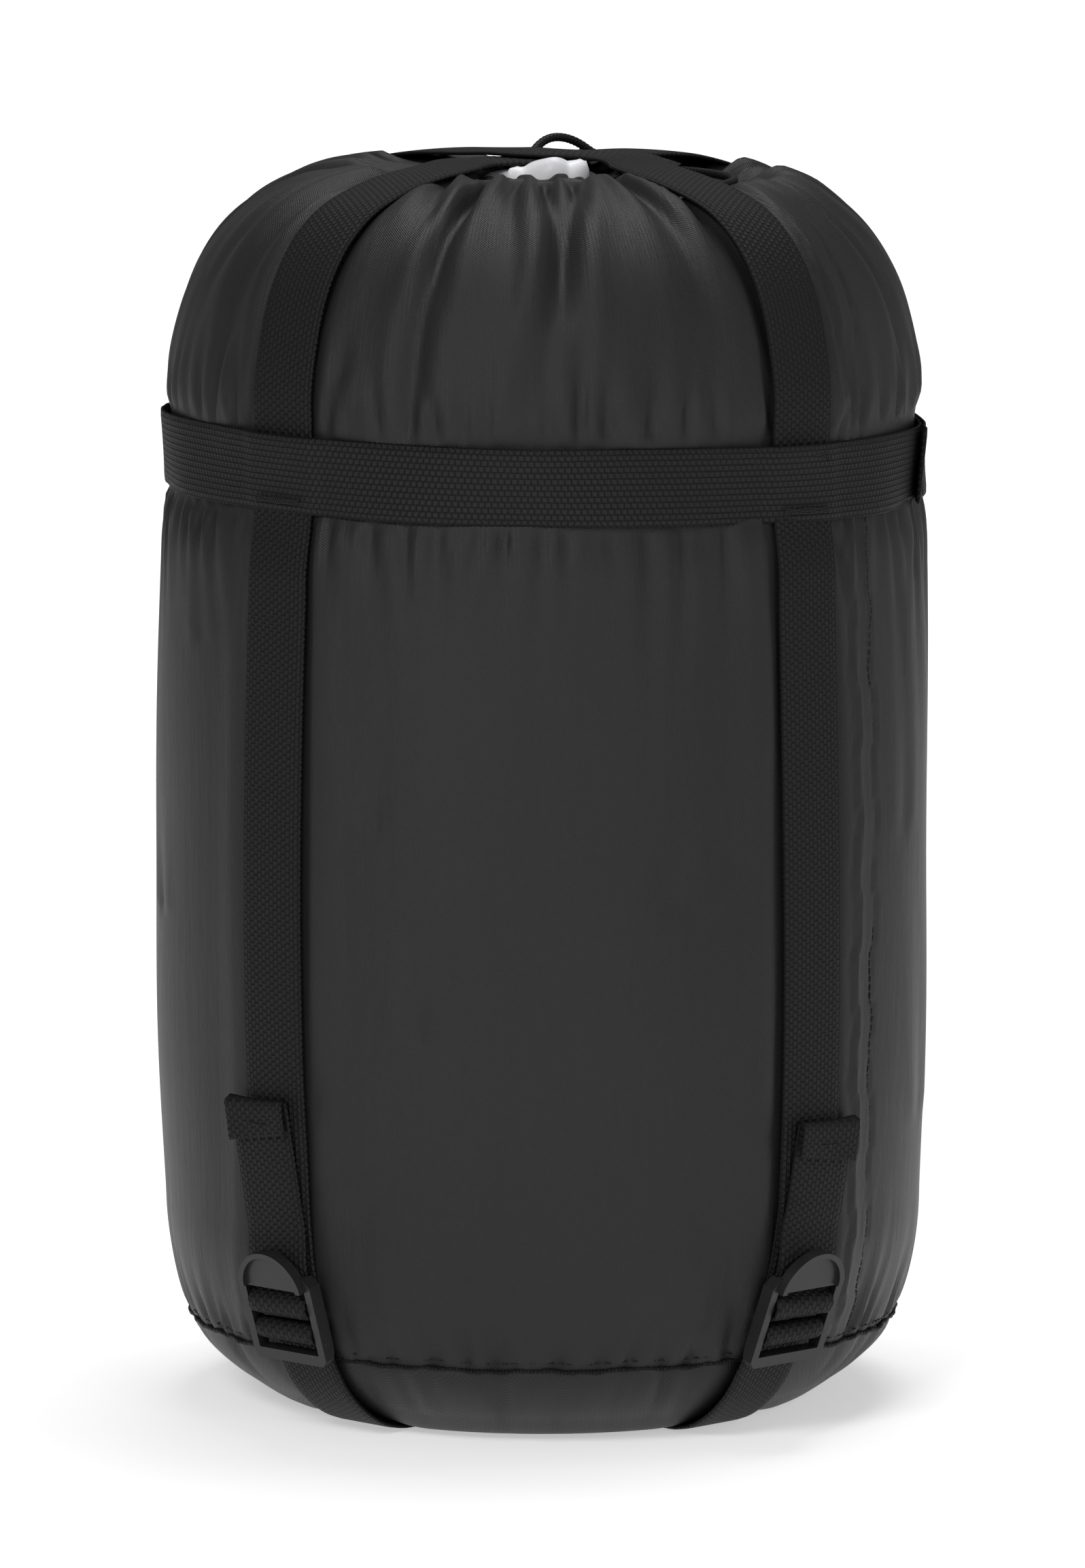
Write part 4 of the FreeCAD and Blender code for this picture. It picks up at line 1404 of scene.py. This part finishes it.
@dataclass
class Band:
    """The webbing band round the top of the wall, with its lapped and sewn end."""

    form: SackForm
    finishes: Finishes
    width: float = 25.0
    lap_from: float = 76.0
    lap_to: float = 103.0

    def level(self, azimuth: np.ndarray | float) -> Any:
        """Height of the band's middle, which hangs a little lower on one side."""
        a = np.radians(azimuth)
        return self.form.band - 2.6 - 2.3 * np.sin(a) + 1.4 * np.cos(a) + 0.25 * np.sin(5 * a)

    def radius(self, azimuth: np.ndarray) -> np.ndarray:
        """Radius of the band's middle: a little more where it passes over a strap.

        Args:
            azimuth: Azimuths, in degrees.

        Returns:
            The radius at each.
        """
        r = np.full_like(azimuth, self.form.pinch + 1.2)
        for strap in CORNERS.values():
            off = np.radians(np.abs(turned(azimuth, strap))) * self.form.radius
            r += 1.35 * (1 - ease(off, 11.5, 19.0))
        a = np.radians(azimuth)
        return r + 0.25 * np.sin(7 * a + 1) + 0.15 * np.sin(19 * a)

    def ring(self, name: str, azimuth: np.ndarray, extra: np.ndarray, closed: bool,
             material: bpy.types.Material) -> bpy.types.Object:
        """A strip round the wall.

        Args:
            name: The piece's name.
            azimuth: Azimuths of its rows, in degrees.
            extra: Extra distance out for each.
            closed: Whether it closes on itself.
            material: The finish.

        Returns:
            The piece.
        """
        a = np.radians(azimuth)
        out = about_axis(1.0, a, 0 * a)
        line = out * (self.radius(azimuth) + extra)[:, None]
        line[:, 2] = self.level(azimuth)
        up = np.repeat(np.array([[0.0, 0.0, 1.0]]), len(a), axis=0)
        wave = 0.10 * np.sin(9 * a + 2)
        across = up + out * wave[:, None]
        across /= np.linalg.norm(across, axis=1)[:, None]
        return Strip(name, line, out, -across, material, self.width, 1.3, columns=11,
                     closed=closed).build()

    def build(self) -> list[bpy.types.Object]:
        """Make the band and its lap.

        Returns:
            Both pieces.
        """
        turn = np.linspace(-180.0, 180.0, 900, endpoint=False)
        band = self.ring("band_webbing", turn, np.zeros_like(turn), True, self.finishes.dotted)
        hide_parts("band")
        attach(band, "crown")
        part = np.linspace(self.lap_from, self.lap_to, 150)
        curl = 1.5 + 2.2 * (1 - ease(part, self.lap_from, self.lap_from + 4.5))
        lap = self.ring("band_lap_webbing", part, curl, False, self.finishes.fine)
        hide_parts("band_lap")
        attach(lap, "crown")
        return [band, lap]


# ------------------------------------------------------------------ stitches


class StitchTree:
    """A Geometry Nodes tree that lays short stitches along the edges of a mesh."""

    def __init__(self, material: bpy.types.Material) -> None:
        """Build the tree.

        Args:
            material: The thread's finish.
        """
        tree = bpy.data.node_groups.new("stitches", "GeometryNodeTree")
        face = tree.interface
        face.new_socket("Geometry", in_out="INPUT", socket_type="NodeSocketGeometry")
        face.new_socket("Geometry", in_out="OUTPUT", socket_type="NodeSocketGeometry")
        self.ids = {}
        for name in ("Pitch", "Stitch length", "Thread radius"):
            socket = face.new_socket(name, in_out="INPUT", socket_type="NodeSocketFloat")
            self.ids[name] = socket.identifier
        new, link = tree.nodes.new, tree.links.new
        start, end = new("NodeGroupInput"), new("NodeGroupOutput")
        curve = new("GeometryNodeMeshToCurve")
        resample = new("GeometryNodeResampleCurve")
        resample.mode = "LENGTH"
        to_points = new("GeometryNodeInstanceOnPoints")
        tangent = new("GeometryNodeInputTangent")
        align = new("FunctionNodeAlignRotationToVector")
        align.axis = "Z"
        body = new("GeometryNodeMeshCylinder")
        body.inputs["Vertices"].default_value = 6
        body.inputs["Side Segments"].default_value = 3
        shape = new("GeometryNodeSetPosition")
        realize = new("GeometryNodeRealizeInstances")
        dress = new("GeometryNodeSetMaterial")
        dress.inputs["Material"].default_value = material
        smooth = new("GeometryNodeSetShadeSmooth")
        link(start.outputs["Geometry"], curve.inputs["Mesh"])
        link(curve.outputs["Curve"], resample.inputs["Curve"])
        link(start.outputs["Pitch"], resample.inputs["Length"])
        link(resample.outputs["Curve"], to_points.inputs["Points"])
        link(start.outputs["Stitch length"], body.inputs["Depth"])
        link(start.outputs["Thread radius"], body.inputs["Radius"])
        link(tangent.outputs["Tangent"], align.inputs["Vector"])
        link(align.outputs["Rotation"], to_points.inputs["Rotation"])
        link(body.outputs["Mesh"], shape.inputs["Geometry"])
        link(shape.outputs["Geometry"], to_points.inputs["Instance"])
        link(to_points.outputs["Instances"], realize.inputs["Geometry"])
        link(realize.outputs["Geometry"], smooth.inputs["Geometry"])
        link(smooth.outputs["Geometry"], dress.inputs["Geometry"])
        link(dress.outputs["Geometry"], end.inputs["Geometry"])
        self.tree = tree

    def lay(self, name: str, rows: Sequence[np.ndarray], pitch: float, length: float,
            radius: float) -> bpy.types.Object:
        """Sew rows of stitches.

        Args:
            name: The piece's name.
            rows: Lines in millimetres.
            pitch: Spacing of the stitches, in millimetres.
            length: Length of a stitch.
            radius: Radius of the thread.

        Returns:
            A plain mesh object.
        """
        points = np.vstack(rows) * MM
        edges, first = [], 0
        for row in rows:
            edges += [(first + i, first + i + 1) for i in range(len(row) - 1)]
            first += len(row)
        mesh = bpy.data.meshes.new(name)
        mesh.from_pydata(points.tolist(), edges, [])
        guide = put_in_scene(f"{name}_guide", mesh)
        modifier = guide.modifiers.new("stitches", "NODES")
        modifier.node_group = self.tree
        for key, value in (("Pitch", pitch), ("Stitch length", length), ("Thread radius", radius)):
            modifier[self.ids[key]] = value * MM
        bpy.context.view_layer.update()
        seen = guide.evaluated_get(bpy.context.evaluated_depsgraph_get())
        made = bpy.data.meshes.new_from_object(seen)
        guide.modifiers.clear()
        bpy.data.objects.remove(guide)
        piece = put_in_scene(name, made)
        return piece


@dataclass
class Stitching:
    """Every row of thread that shows."""

    form: SackForm
    band: Band
    cloth: SackCloth
    finishes: Finishes

    def on_wall(self, azimuth: np.ndarray, height: np.ndarray, out: float) -> np.ndarray:
        """Points on the plain wall.

        Args:
            azimuth: In degrees.
            height: Heights.
            out: Distance out.

        Returns:
            The points.
        """
        line = self.cloth.outline
        r = np.interp(height, line[:, 1], line[:, 0]) + out
        return about_axis(r, np.radians(azimuth), height)

    def build(self) -> list[bpy.types.Object]:
        """Sew everything.

        Returns:
            The pieces.
        """
        tree = StitchTree(self.finishes.thread)
        made = [self.tacks(tree), self.seam(tree), self.base_row(tree)]
        made += self.tips(tree)
        return made

    def tacks(self, tree: StitchTree) -> bpy.types.Object:
        """Zigzag bar tacks where the band is sewn to the four straps, and down the lap.

        Args:
            tree: The stitch tree.

        Returns:
            The piece.
        """
        rows = []
        for strap in CORNERS.values():
            for level in (-8.6, 8.6):
                x = np.linspace(-9.5, 9.5, 39)
                az = strap + np.degrees(x / 126.0)
                z = self.band.level(az) + level + 0.9 * (np.arange(39) % 2 * 2 - 1)
                rows.append(about_axis(self.band.radius(az) + 0.95, np.radians(az), z))
        for az0 in (80.0, 101.0):
            az = az0 + 0.35 * (np.arange(41) % 2 * 2 - 1)
            z = self.band.level(az) + np.linspace(-10, 10, 41)
            r = self.band.radius(az) + 1.5 + 0.85 + 0.1
            rows.append(about_axis(r, np.radians(az), z))
        piece = tree.lay("bar_tack_stitches", rows, 0.95, 1.15, 0.2)
        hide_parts("bar_tacks")
        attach(piece, "crown")
        return piece

    def seam(self, tree: StitchTree) -> bpy.types.Object:
        """The dashed row beside the side seam.

        Args:
            tree: The stitch tree.

        Returns:
            The piece.
        """
        z = np.linspace(34.0, self.form.band - 18, 300)
        wander = seam_wander(np.interp(z, self.cloth.outline[:, 1], self.cloth.gone))
        az = SEAM_AZIMUTH + np.degrees((wander + SEAM_ROW) / self.form.radius)
        piece = tree.lay("side_seam_stitches", [self.on_wall(az, z, -0.25)], 2.7, 1.9, 0.22)
        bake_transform(piece)
        return piece

    def base_row(self, tree: StitchTree) -> bpy.types.Object:
        """The row of stitches just above the base seam.

        Args:
            tree: The stitch tree.

        Returns:
            The piece.
        """
        az = np.linspace(-180, 180, 721)
        z = 30.6 + 0.3 * np.sin(np.radians(az) * 23 + 2)
        piece = tree.lay("base_seam_stitches", [self.on_wall(az, z, 0.15)], 3.0, 2.1, 0.24)
        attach(piece, "base")
        return piece

    def tips(self, tree: StitchTree) -> list[bpy.types.Object]:
        """The row across each tail's folded tip.

        Args:
            tree: The stitch tree.

        Returns:
            The pieces.
        """
        made = []
        for corner, azimuth in CORNERS.items():
            tail = bpy.data.objects[f"tail_webbing_{corner}"]
            top = max(v.co.z for v in tail.data.vertices) * 1000
            near = [v.co for v in tail.data.vertices if abs(v.co.z * 1000 - (top - 8)) < 0.6]
            s = side_dir(azimuth)
            places = [c.x * s[0] * 1000 + c.y * s[1] * 1000 for c in near]
            middle = (max(places) + min(places)) / 2
            x = np.linspace(-10.5, 10.5, 22)
            r = float(self.form.wall(top)) + 5.95 - x**2 / 254
            row = out_dir(azimuth) * r[:, None] + s * (x + middle)[:, None]
            row[:, 2] = top - 8.4 - 0.03 * x
            piece = tree.lay(f"tail_stitches_{corner}", [row], 2.0, 1.5, 0.22)
            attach(piece, f"tail_{corner}")
            made.append(piece)
        return made


# ------------------------------------------------------------------ drawcord and hardware


@dataclass
class Drawcord:
    """The braided cord through the hem, its standing bight, its knot and its lock."""

    finishes: Finishes
    ring: float = 26.0
    top: float = 402.0
    diameter: float = 3.0
    turn: float = -40.0
    press: float = 4.0
    bight: tuple[tuple[float, float, float], ...] = (
        (148, -7.0, 2.4), (138.4, -0.5, 6.0), (126.5, 5.5, 10.8), (114.8, 12.5, 9.6),
        (105.6, 19.2, 2.9), (91.5, 24.0, -0.4), (75, 29.5, -0.4), (58, 34.0, -0.6),
        (42, 37.0, -0.6), (26, 37.5, -0.6), (9, 36.0, -1.2))

    def points(self) -> np.ndarray:
        """The route's points: bight, lock, round the hem, lock, and the end at the knot.

        Returns:
            The points, in metres.
        """
        def polar(angle: float, radius: float, z: float) -> tuple[float, float, float]:
            """A point about the mouth."""
            a = math.radians(angle)
            return radius * math.cos(a), radius * math.sin(a), z

        level, apart = self.top - 1.7, self.diameter / 2 + 0.3
        route = [polar(a, self.ring + r, self.top + up) for a, r, up in self.bight]
        near = [(self.ring + 29.0, apart, level), (self.ring + 9.2, apart, level),
                (self.ring + 0.2, apart + 4.6, level)]
        first = math.degrees(math.asin((apart + 11.5) / self.ring))
        step = (360 - 2 * first) / 13
        outer = self.ring / math.cos(math.radians(step / 2)) * 0.996
        route += near + [polar(first + i * step, outer, level) for i in range(14)]
        route += [(x, -y, z) for x, y, z in reversed(near)]
        a = math.radians(self.turn)
        c, s = math.cos(a), math.sin(a)
        return np.array([(x * c - y * s, x * s + y * c, z) for x, y, z in route]) * MM

    def route(self) -> np.ndarray:
        """The smooth line of the cord, read from a NURBS spline.

        Returns:
            Its points, in metres.
        """
        points = self.points()
        curve = bpy.data.curves.new("drawcord_route", "CURVE")
        curve.dimensions = "3D"
        curve.resolution_u = 24
        spline = curve.splines.new("NURBS")
        spline.points.add(len(points) - 1)
        for spot, point in zip(spline.points, points):
            spot.co = (*point, 1.0)
        spline.order_u = 3
        spline.use_endpoint_u = True
        bare = bpy.data.objects.new("drawcord_route", curve)
        mesh = bpy.data.meshes.new_from_object(bare)
        line = np.array([v.co for v in mesh.vertices])
        bpy.data.meshes.remove(mesh)
        bpy.data.objects.remove(bare)
        bpy.data.curves.remove(curve)
        return line

    def build(self) -> list[bpy.types.Object]:
        """Make the cord, its knot and its lock.

        Returns:
            The pieces.
        """
        line = self.route()
        cord = self.tube("drawcord_braid", even_line(line, 0.0004), self.diameter / 2 * MM)
        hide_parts("drawcord")
        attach(cord, "crown")
        knot = self.knot(line[-1], line[-1] - line[-6])
        lock = bevelled("cord_lock_barrel", "lock_barrel", self.finishes.lock, 0.35)
        plunger = bevelled("cord_lock_plunger", "lock_plunger", self.finishes.lock, 0.35)
        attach(lock, "lock")
        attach(plunger, "plunger")
        spring = self.spring()
        return [cord, knot, lock, plunger, spring]

    def spring(self) -> bpy.types.Object:
        """The lock's coil spring, a copy of the CAD one carried by the lock.

        Returns:
            The piece.
        """
        mesh = cad_mesh("cord_lock_spring", "lock_spring", self.finishes.steel)
        piece = put_in_scene("cord_lock_spring", mesh)
        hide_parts("lock_spring")
        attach(piece, "lock")
        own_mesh(piece)
        return piece

    def tube(self, name: str, line: np.ndarray, radius: float) -> bpy.types.Object:
        """A braided tube along a line.

        Args:
            name: The piece's name.
            line: Its points, in metres.
            radius: Its radius, in metres.

        Returns:
            The piece.
        """
        around, strands, lay = 20, 4, 1.5
        tangent = directions(line)
        side = np.cross(tangent[0], (0.0, 0.0, 1.0))
        rows = []
        gone = distance_along(line) * 1000
        turn = np.linspace(0, 2 * math.pi, around, endpoint=False)
        for point, t, along in zip(line, tangent, gone):
            side = side - side.dot(t) * t
            side /= np.linalg.norm(side)
            up = np.cross(t, side)
            twist = along * 2 * math.pi / lay
            plait = 0.035 * np.cos(strands * turn + twist) + 0.035 * np.cos(strands * turn - twist)
            size = (radius * (0.93 + plait))[:, None]
            rows.append(point + np.cos(turn)[:, None] * size * side
                        + np.sin(turn)[:, None] * size * up)
        n = len(rows)
        points = np.vstack(rows + [line[:1], line[-1:]])
        faces, uv = [], []
        for i, j, in ((i, j) for i in range(n - 1) for j in range(around)):
            k = (j + 1) % around
            faces.append((i * around + j, i * around + k,
                          (i + 1) * around + k, (i + 1) * around + j))
            uv += [(j / around, gone[i]), ((j + 1) / around, gone[i]),
                   ((j + 1) / around, gone[i + 1]), (j / around, gone[i + 1])]
        for j in range(around):
            k = (j + 1) % around
            faces.append((n * around, k, j))
            faces.append((n * around + 1, (n - 1) * around + j, (n - 1) * around + k))
            uv += [(0, 0), (0.1, 0.3), (0, 0.3), (0, 0), (0, 0.3), (0.1, 0.3)]
        return new_piece(name, points, faces, self.finishes.cord, np.array(uv))

    def knot(self, end: np.ndarray, way: np.ndarray) -> bpy.types.Object:
        """An overhand knot at the cord's end.

        Args:
            end: Where the cord stops.
            way: The cord's direction there.

        Returns:
            The piece.
        """
        way = way / np.linalg.norm(way)
        side = np.cross(way, (0.0, 0.0, 1.0))
        side /= np.linalg.norm(side)
        up = np.cross(side, way)
        t = np.linspace(0.0, 1.0, 220)
        angle = t * 2 * math.pi * 2.35 - 0.6
        lumps = np.stack([
            0.0004 + 0.0036 * (t + 0.12 * np.sin(angle * 1.5)),
            0.00155 * np.cos(angle) * (1 - 0.3 * t),
            0.00155 * np.sin(angle) * (1 - 0.3 * t)], axis=1)
        line = end - way * 0.0009 + lumps[:, :1] * way + lumps[:, 1:2] * side + lumps[:, 2:] * up
        piece = self.tube("drawcord_knot", line, 0.00125)
        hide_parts("cord_knot")
        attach(piece, "crown")
        return piece


def bevelled(name: str, node: str, material: bpy.types.Material, width: float) -> bpy.types.Object:
    """A moulded piece: a copy of a CAD node with its edges rounded.

    Args:
        name: The piece's name.
        node: The CAD node it stands for.
        material: Its finish.
        width: The rounding, in millimetres.

    Returns:
        The piece.
    """
    mesh = cad_mesh(name, node, material)
    shape = bmesh.new()
    shape.from_mesh(mesh)
    bmesh.ops.remove_doubles(shape, verts=shape.verts, dist=0.00001)
    bmesh.ops.dissolve_limit(shape, angle_limit=math.radians(0.6), verts=shape.verts,
                             edges=shape.edges)
    shape.to_mesh(mesh)
    shape.free()
    mesh.polygons.foreach_set("use_smooth", [True] * len(mesh.polygons))
    piece = put_in_scene(name, mesh)
    round_off = piece.modifiers.new("edges", "BEVEL")
    round_off.width = width * MM
    round_off.segments = 2
    round_off.limit_method = "ANGLE"
    round_off.angle_limit = math.radians(28)
    round_off.use_clamp_overlap = True
    normals = piece.modifiers.new("normals", "WEIGHTED_NORMAL")
    normals.keep_sharp = True
    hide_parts(node)
    return piece


@dataclass
class Buckles:
    """The four ladder-lock buckles."""

    finishes: Finishes

    def build(self) -> list[bpy.types.Object]:
        """Make them.

        Returns:
            The pieces.
        """
        made = []
        for corner, azimuth in CORNERS.items():
            piece = bevelled(f"ladder_lock_{corner}", f"buckle_{corner}",
                             self.finishes.buckle, 0.55)
            side = side_dir(azimuth)
            for vertex in piece.data.vertices:
                shift = float(lean_aside(corner, vertex.co.z * 1000)) * MM
                vertex.co.x += shift * side[0]
                vertex.co.y += shift * side[1]
            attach(piece, f"buckle_{corner}")
            made.append(piece)
        return made


# ------------------------------------------------------------------ camera, floor, light


@dataclass
class Studio:
    """Camera, white floor and soft light."""

    distance: float = 3.5
    height: float = 0.70
    tilt: float = 8.1
    lens: float = 246.7

    def camera(self) -> None:
        """Place the camera."""
        data = bpy.data.cameras.new("camera")
        data.lens, data.sensor_width, data.sensor_fit = self.lens, 36.0, "AUTO"
        data.clip_start, data.clip_end = 0.1, 60.0
        eye = put_in_scene("camera", data)
        eye.location = (0.0, -self.distance, self.height)
        eye.rotation_euler = (math.radians(90 - self.tilt), 0.0, 0.0)
        bpy.context.scene.camera = eye

    def lamp(self, name: str, place: Sequence[float], target: Sequence[float],
             size: tuple[float, float], power: float) -> None:
        """Add a soft panel light.

        Args:
            name: Its name.
            place: Where it stands.
            target: What it faces.
            size: Width and height.
            power: Watts.
        """
        data = bpy.data.lights.new(name, "AREA")
        data.shape, data.size, data.size_y, data.energy = "RECTANGLE", size[0], size[1], power
        lamp = put_in_scene(name, data)
        lamp.location = place
        way = Vector(target) - Vector(place)
        lamp.rotation_euler = way.to_track_quat("-Z", "Y").to_euler()

    def build(self) -> None:
        """Lay the floor and light the scene."""
        points = np.array([(-25, -25, 0), (25, -25, 0), (25, 45, 0), (-25, 45, 0)], float)
        floor = new_piece("floor", points, [(0, 1, 2, 3)], GlowingFloorFinish().build(), smooth=False)
        world = bpy.data.worlds.new("studio")
        world.use_nodes = True
        background = world.node_tree.nodes["Background"]
        background.inputs[0].default_value = (1.0, 1.0, 1.0, 1.0)
        background.inputs[1].default_value = 0.20
        bpy.context.scene.world = world
        self.lamp("key_panel", (-1.1, -2.6, 1.9), (0, 0, 0.22), (1.1, 0.9), 40.0)
        self.lamp("fill_panel", (1.3, -2.4, 0.9), (0, 0, 0.22), (0.7, 1.2), 10.0)
        self.lamp("top_panel", (0.15, 0.35, 1.9), (0, 0, 0.25), (1.0, 0.8), 16.0)
        self.lamp("rim_panel", (1.9, 0.3, 0.6), (0, 0, 0.22), (0.2, 1.2), 2.5)
        bpy.context.scene.view_settings.view_transform = "Standard"


def report(made: bpy.types.Object | list[bpy.types.Object]) -> None:
    """Log the name and the number of faces of each piece."""
    for piece in made if isinstance(made, list) else [made]:
        LOG.info("%s: %d faces", piece.name, len(piece.data.polygons))


def main() -> None:
    """Build the sack in order."""
    logging.basicConfig(level=logging.INFO, format="%(message)s")
    studio = Studio()
    studio.camera()
    finishes, form = Finishes(), SackForm()
    cloth, band = SackCloth(form, finishes), Band(form, finishes)
    report(Drawcord(finishes).build())
    report(Bedding(form, finishes).build())
    report(cloth.build())
    report(BaseCloth(form, finishes).build())
    report(Straps(form, finishes).build())
    report(band.build())
    report(Stitching(form, band, cloth, finishes).build())
    report(Buckles(finishes).build())
    studio.build()


if __name__ == "__main__":
    main()
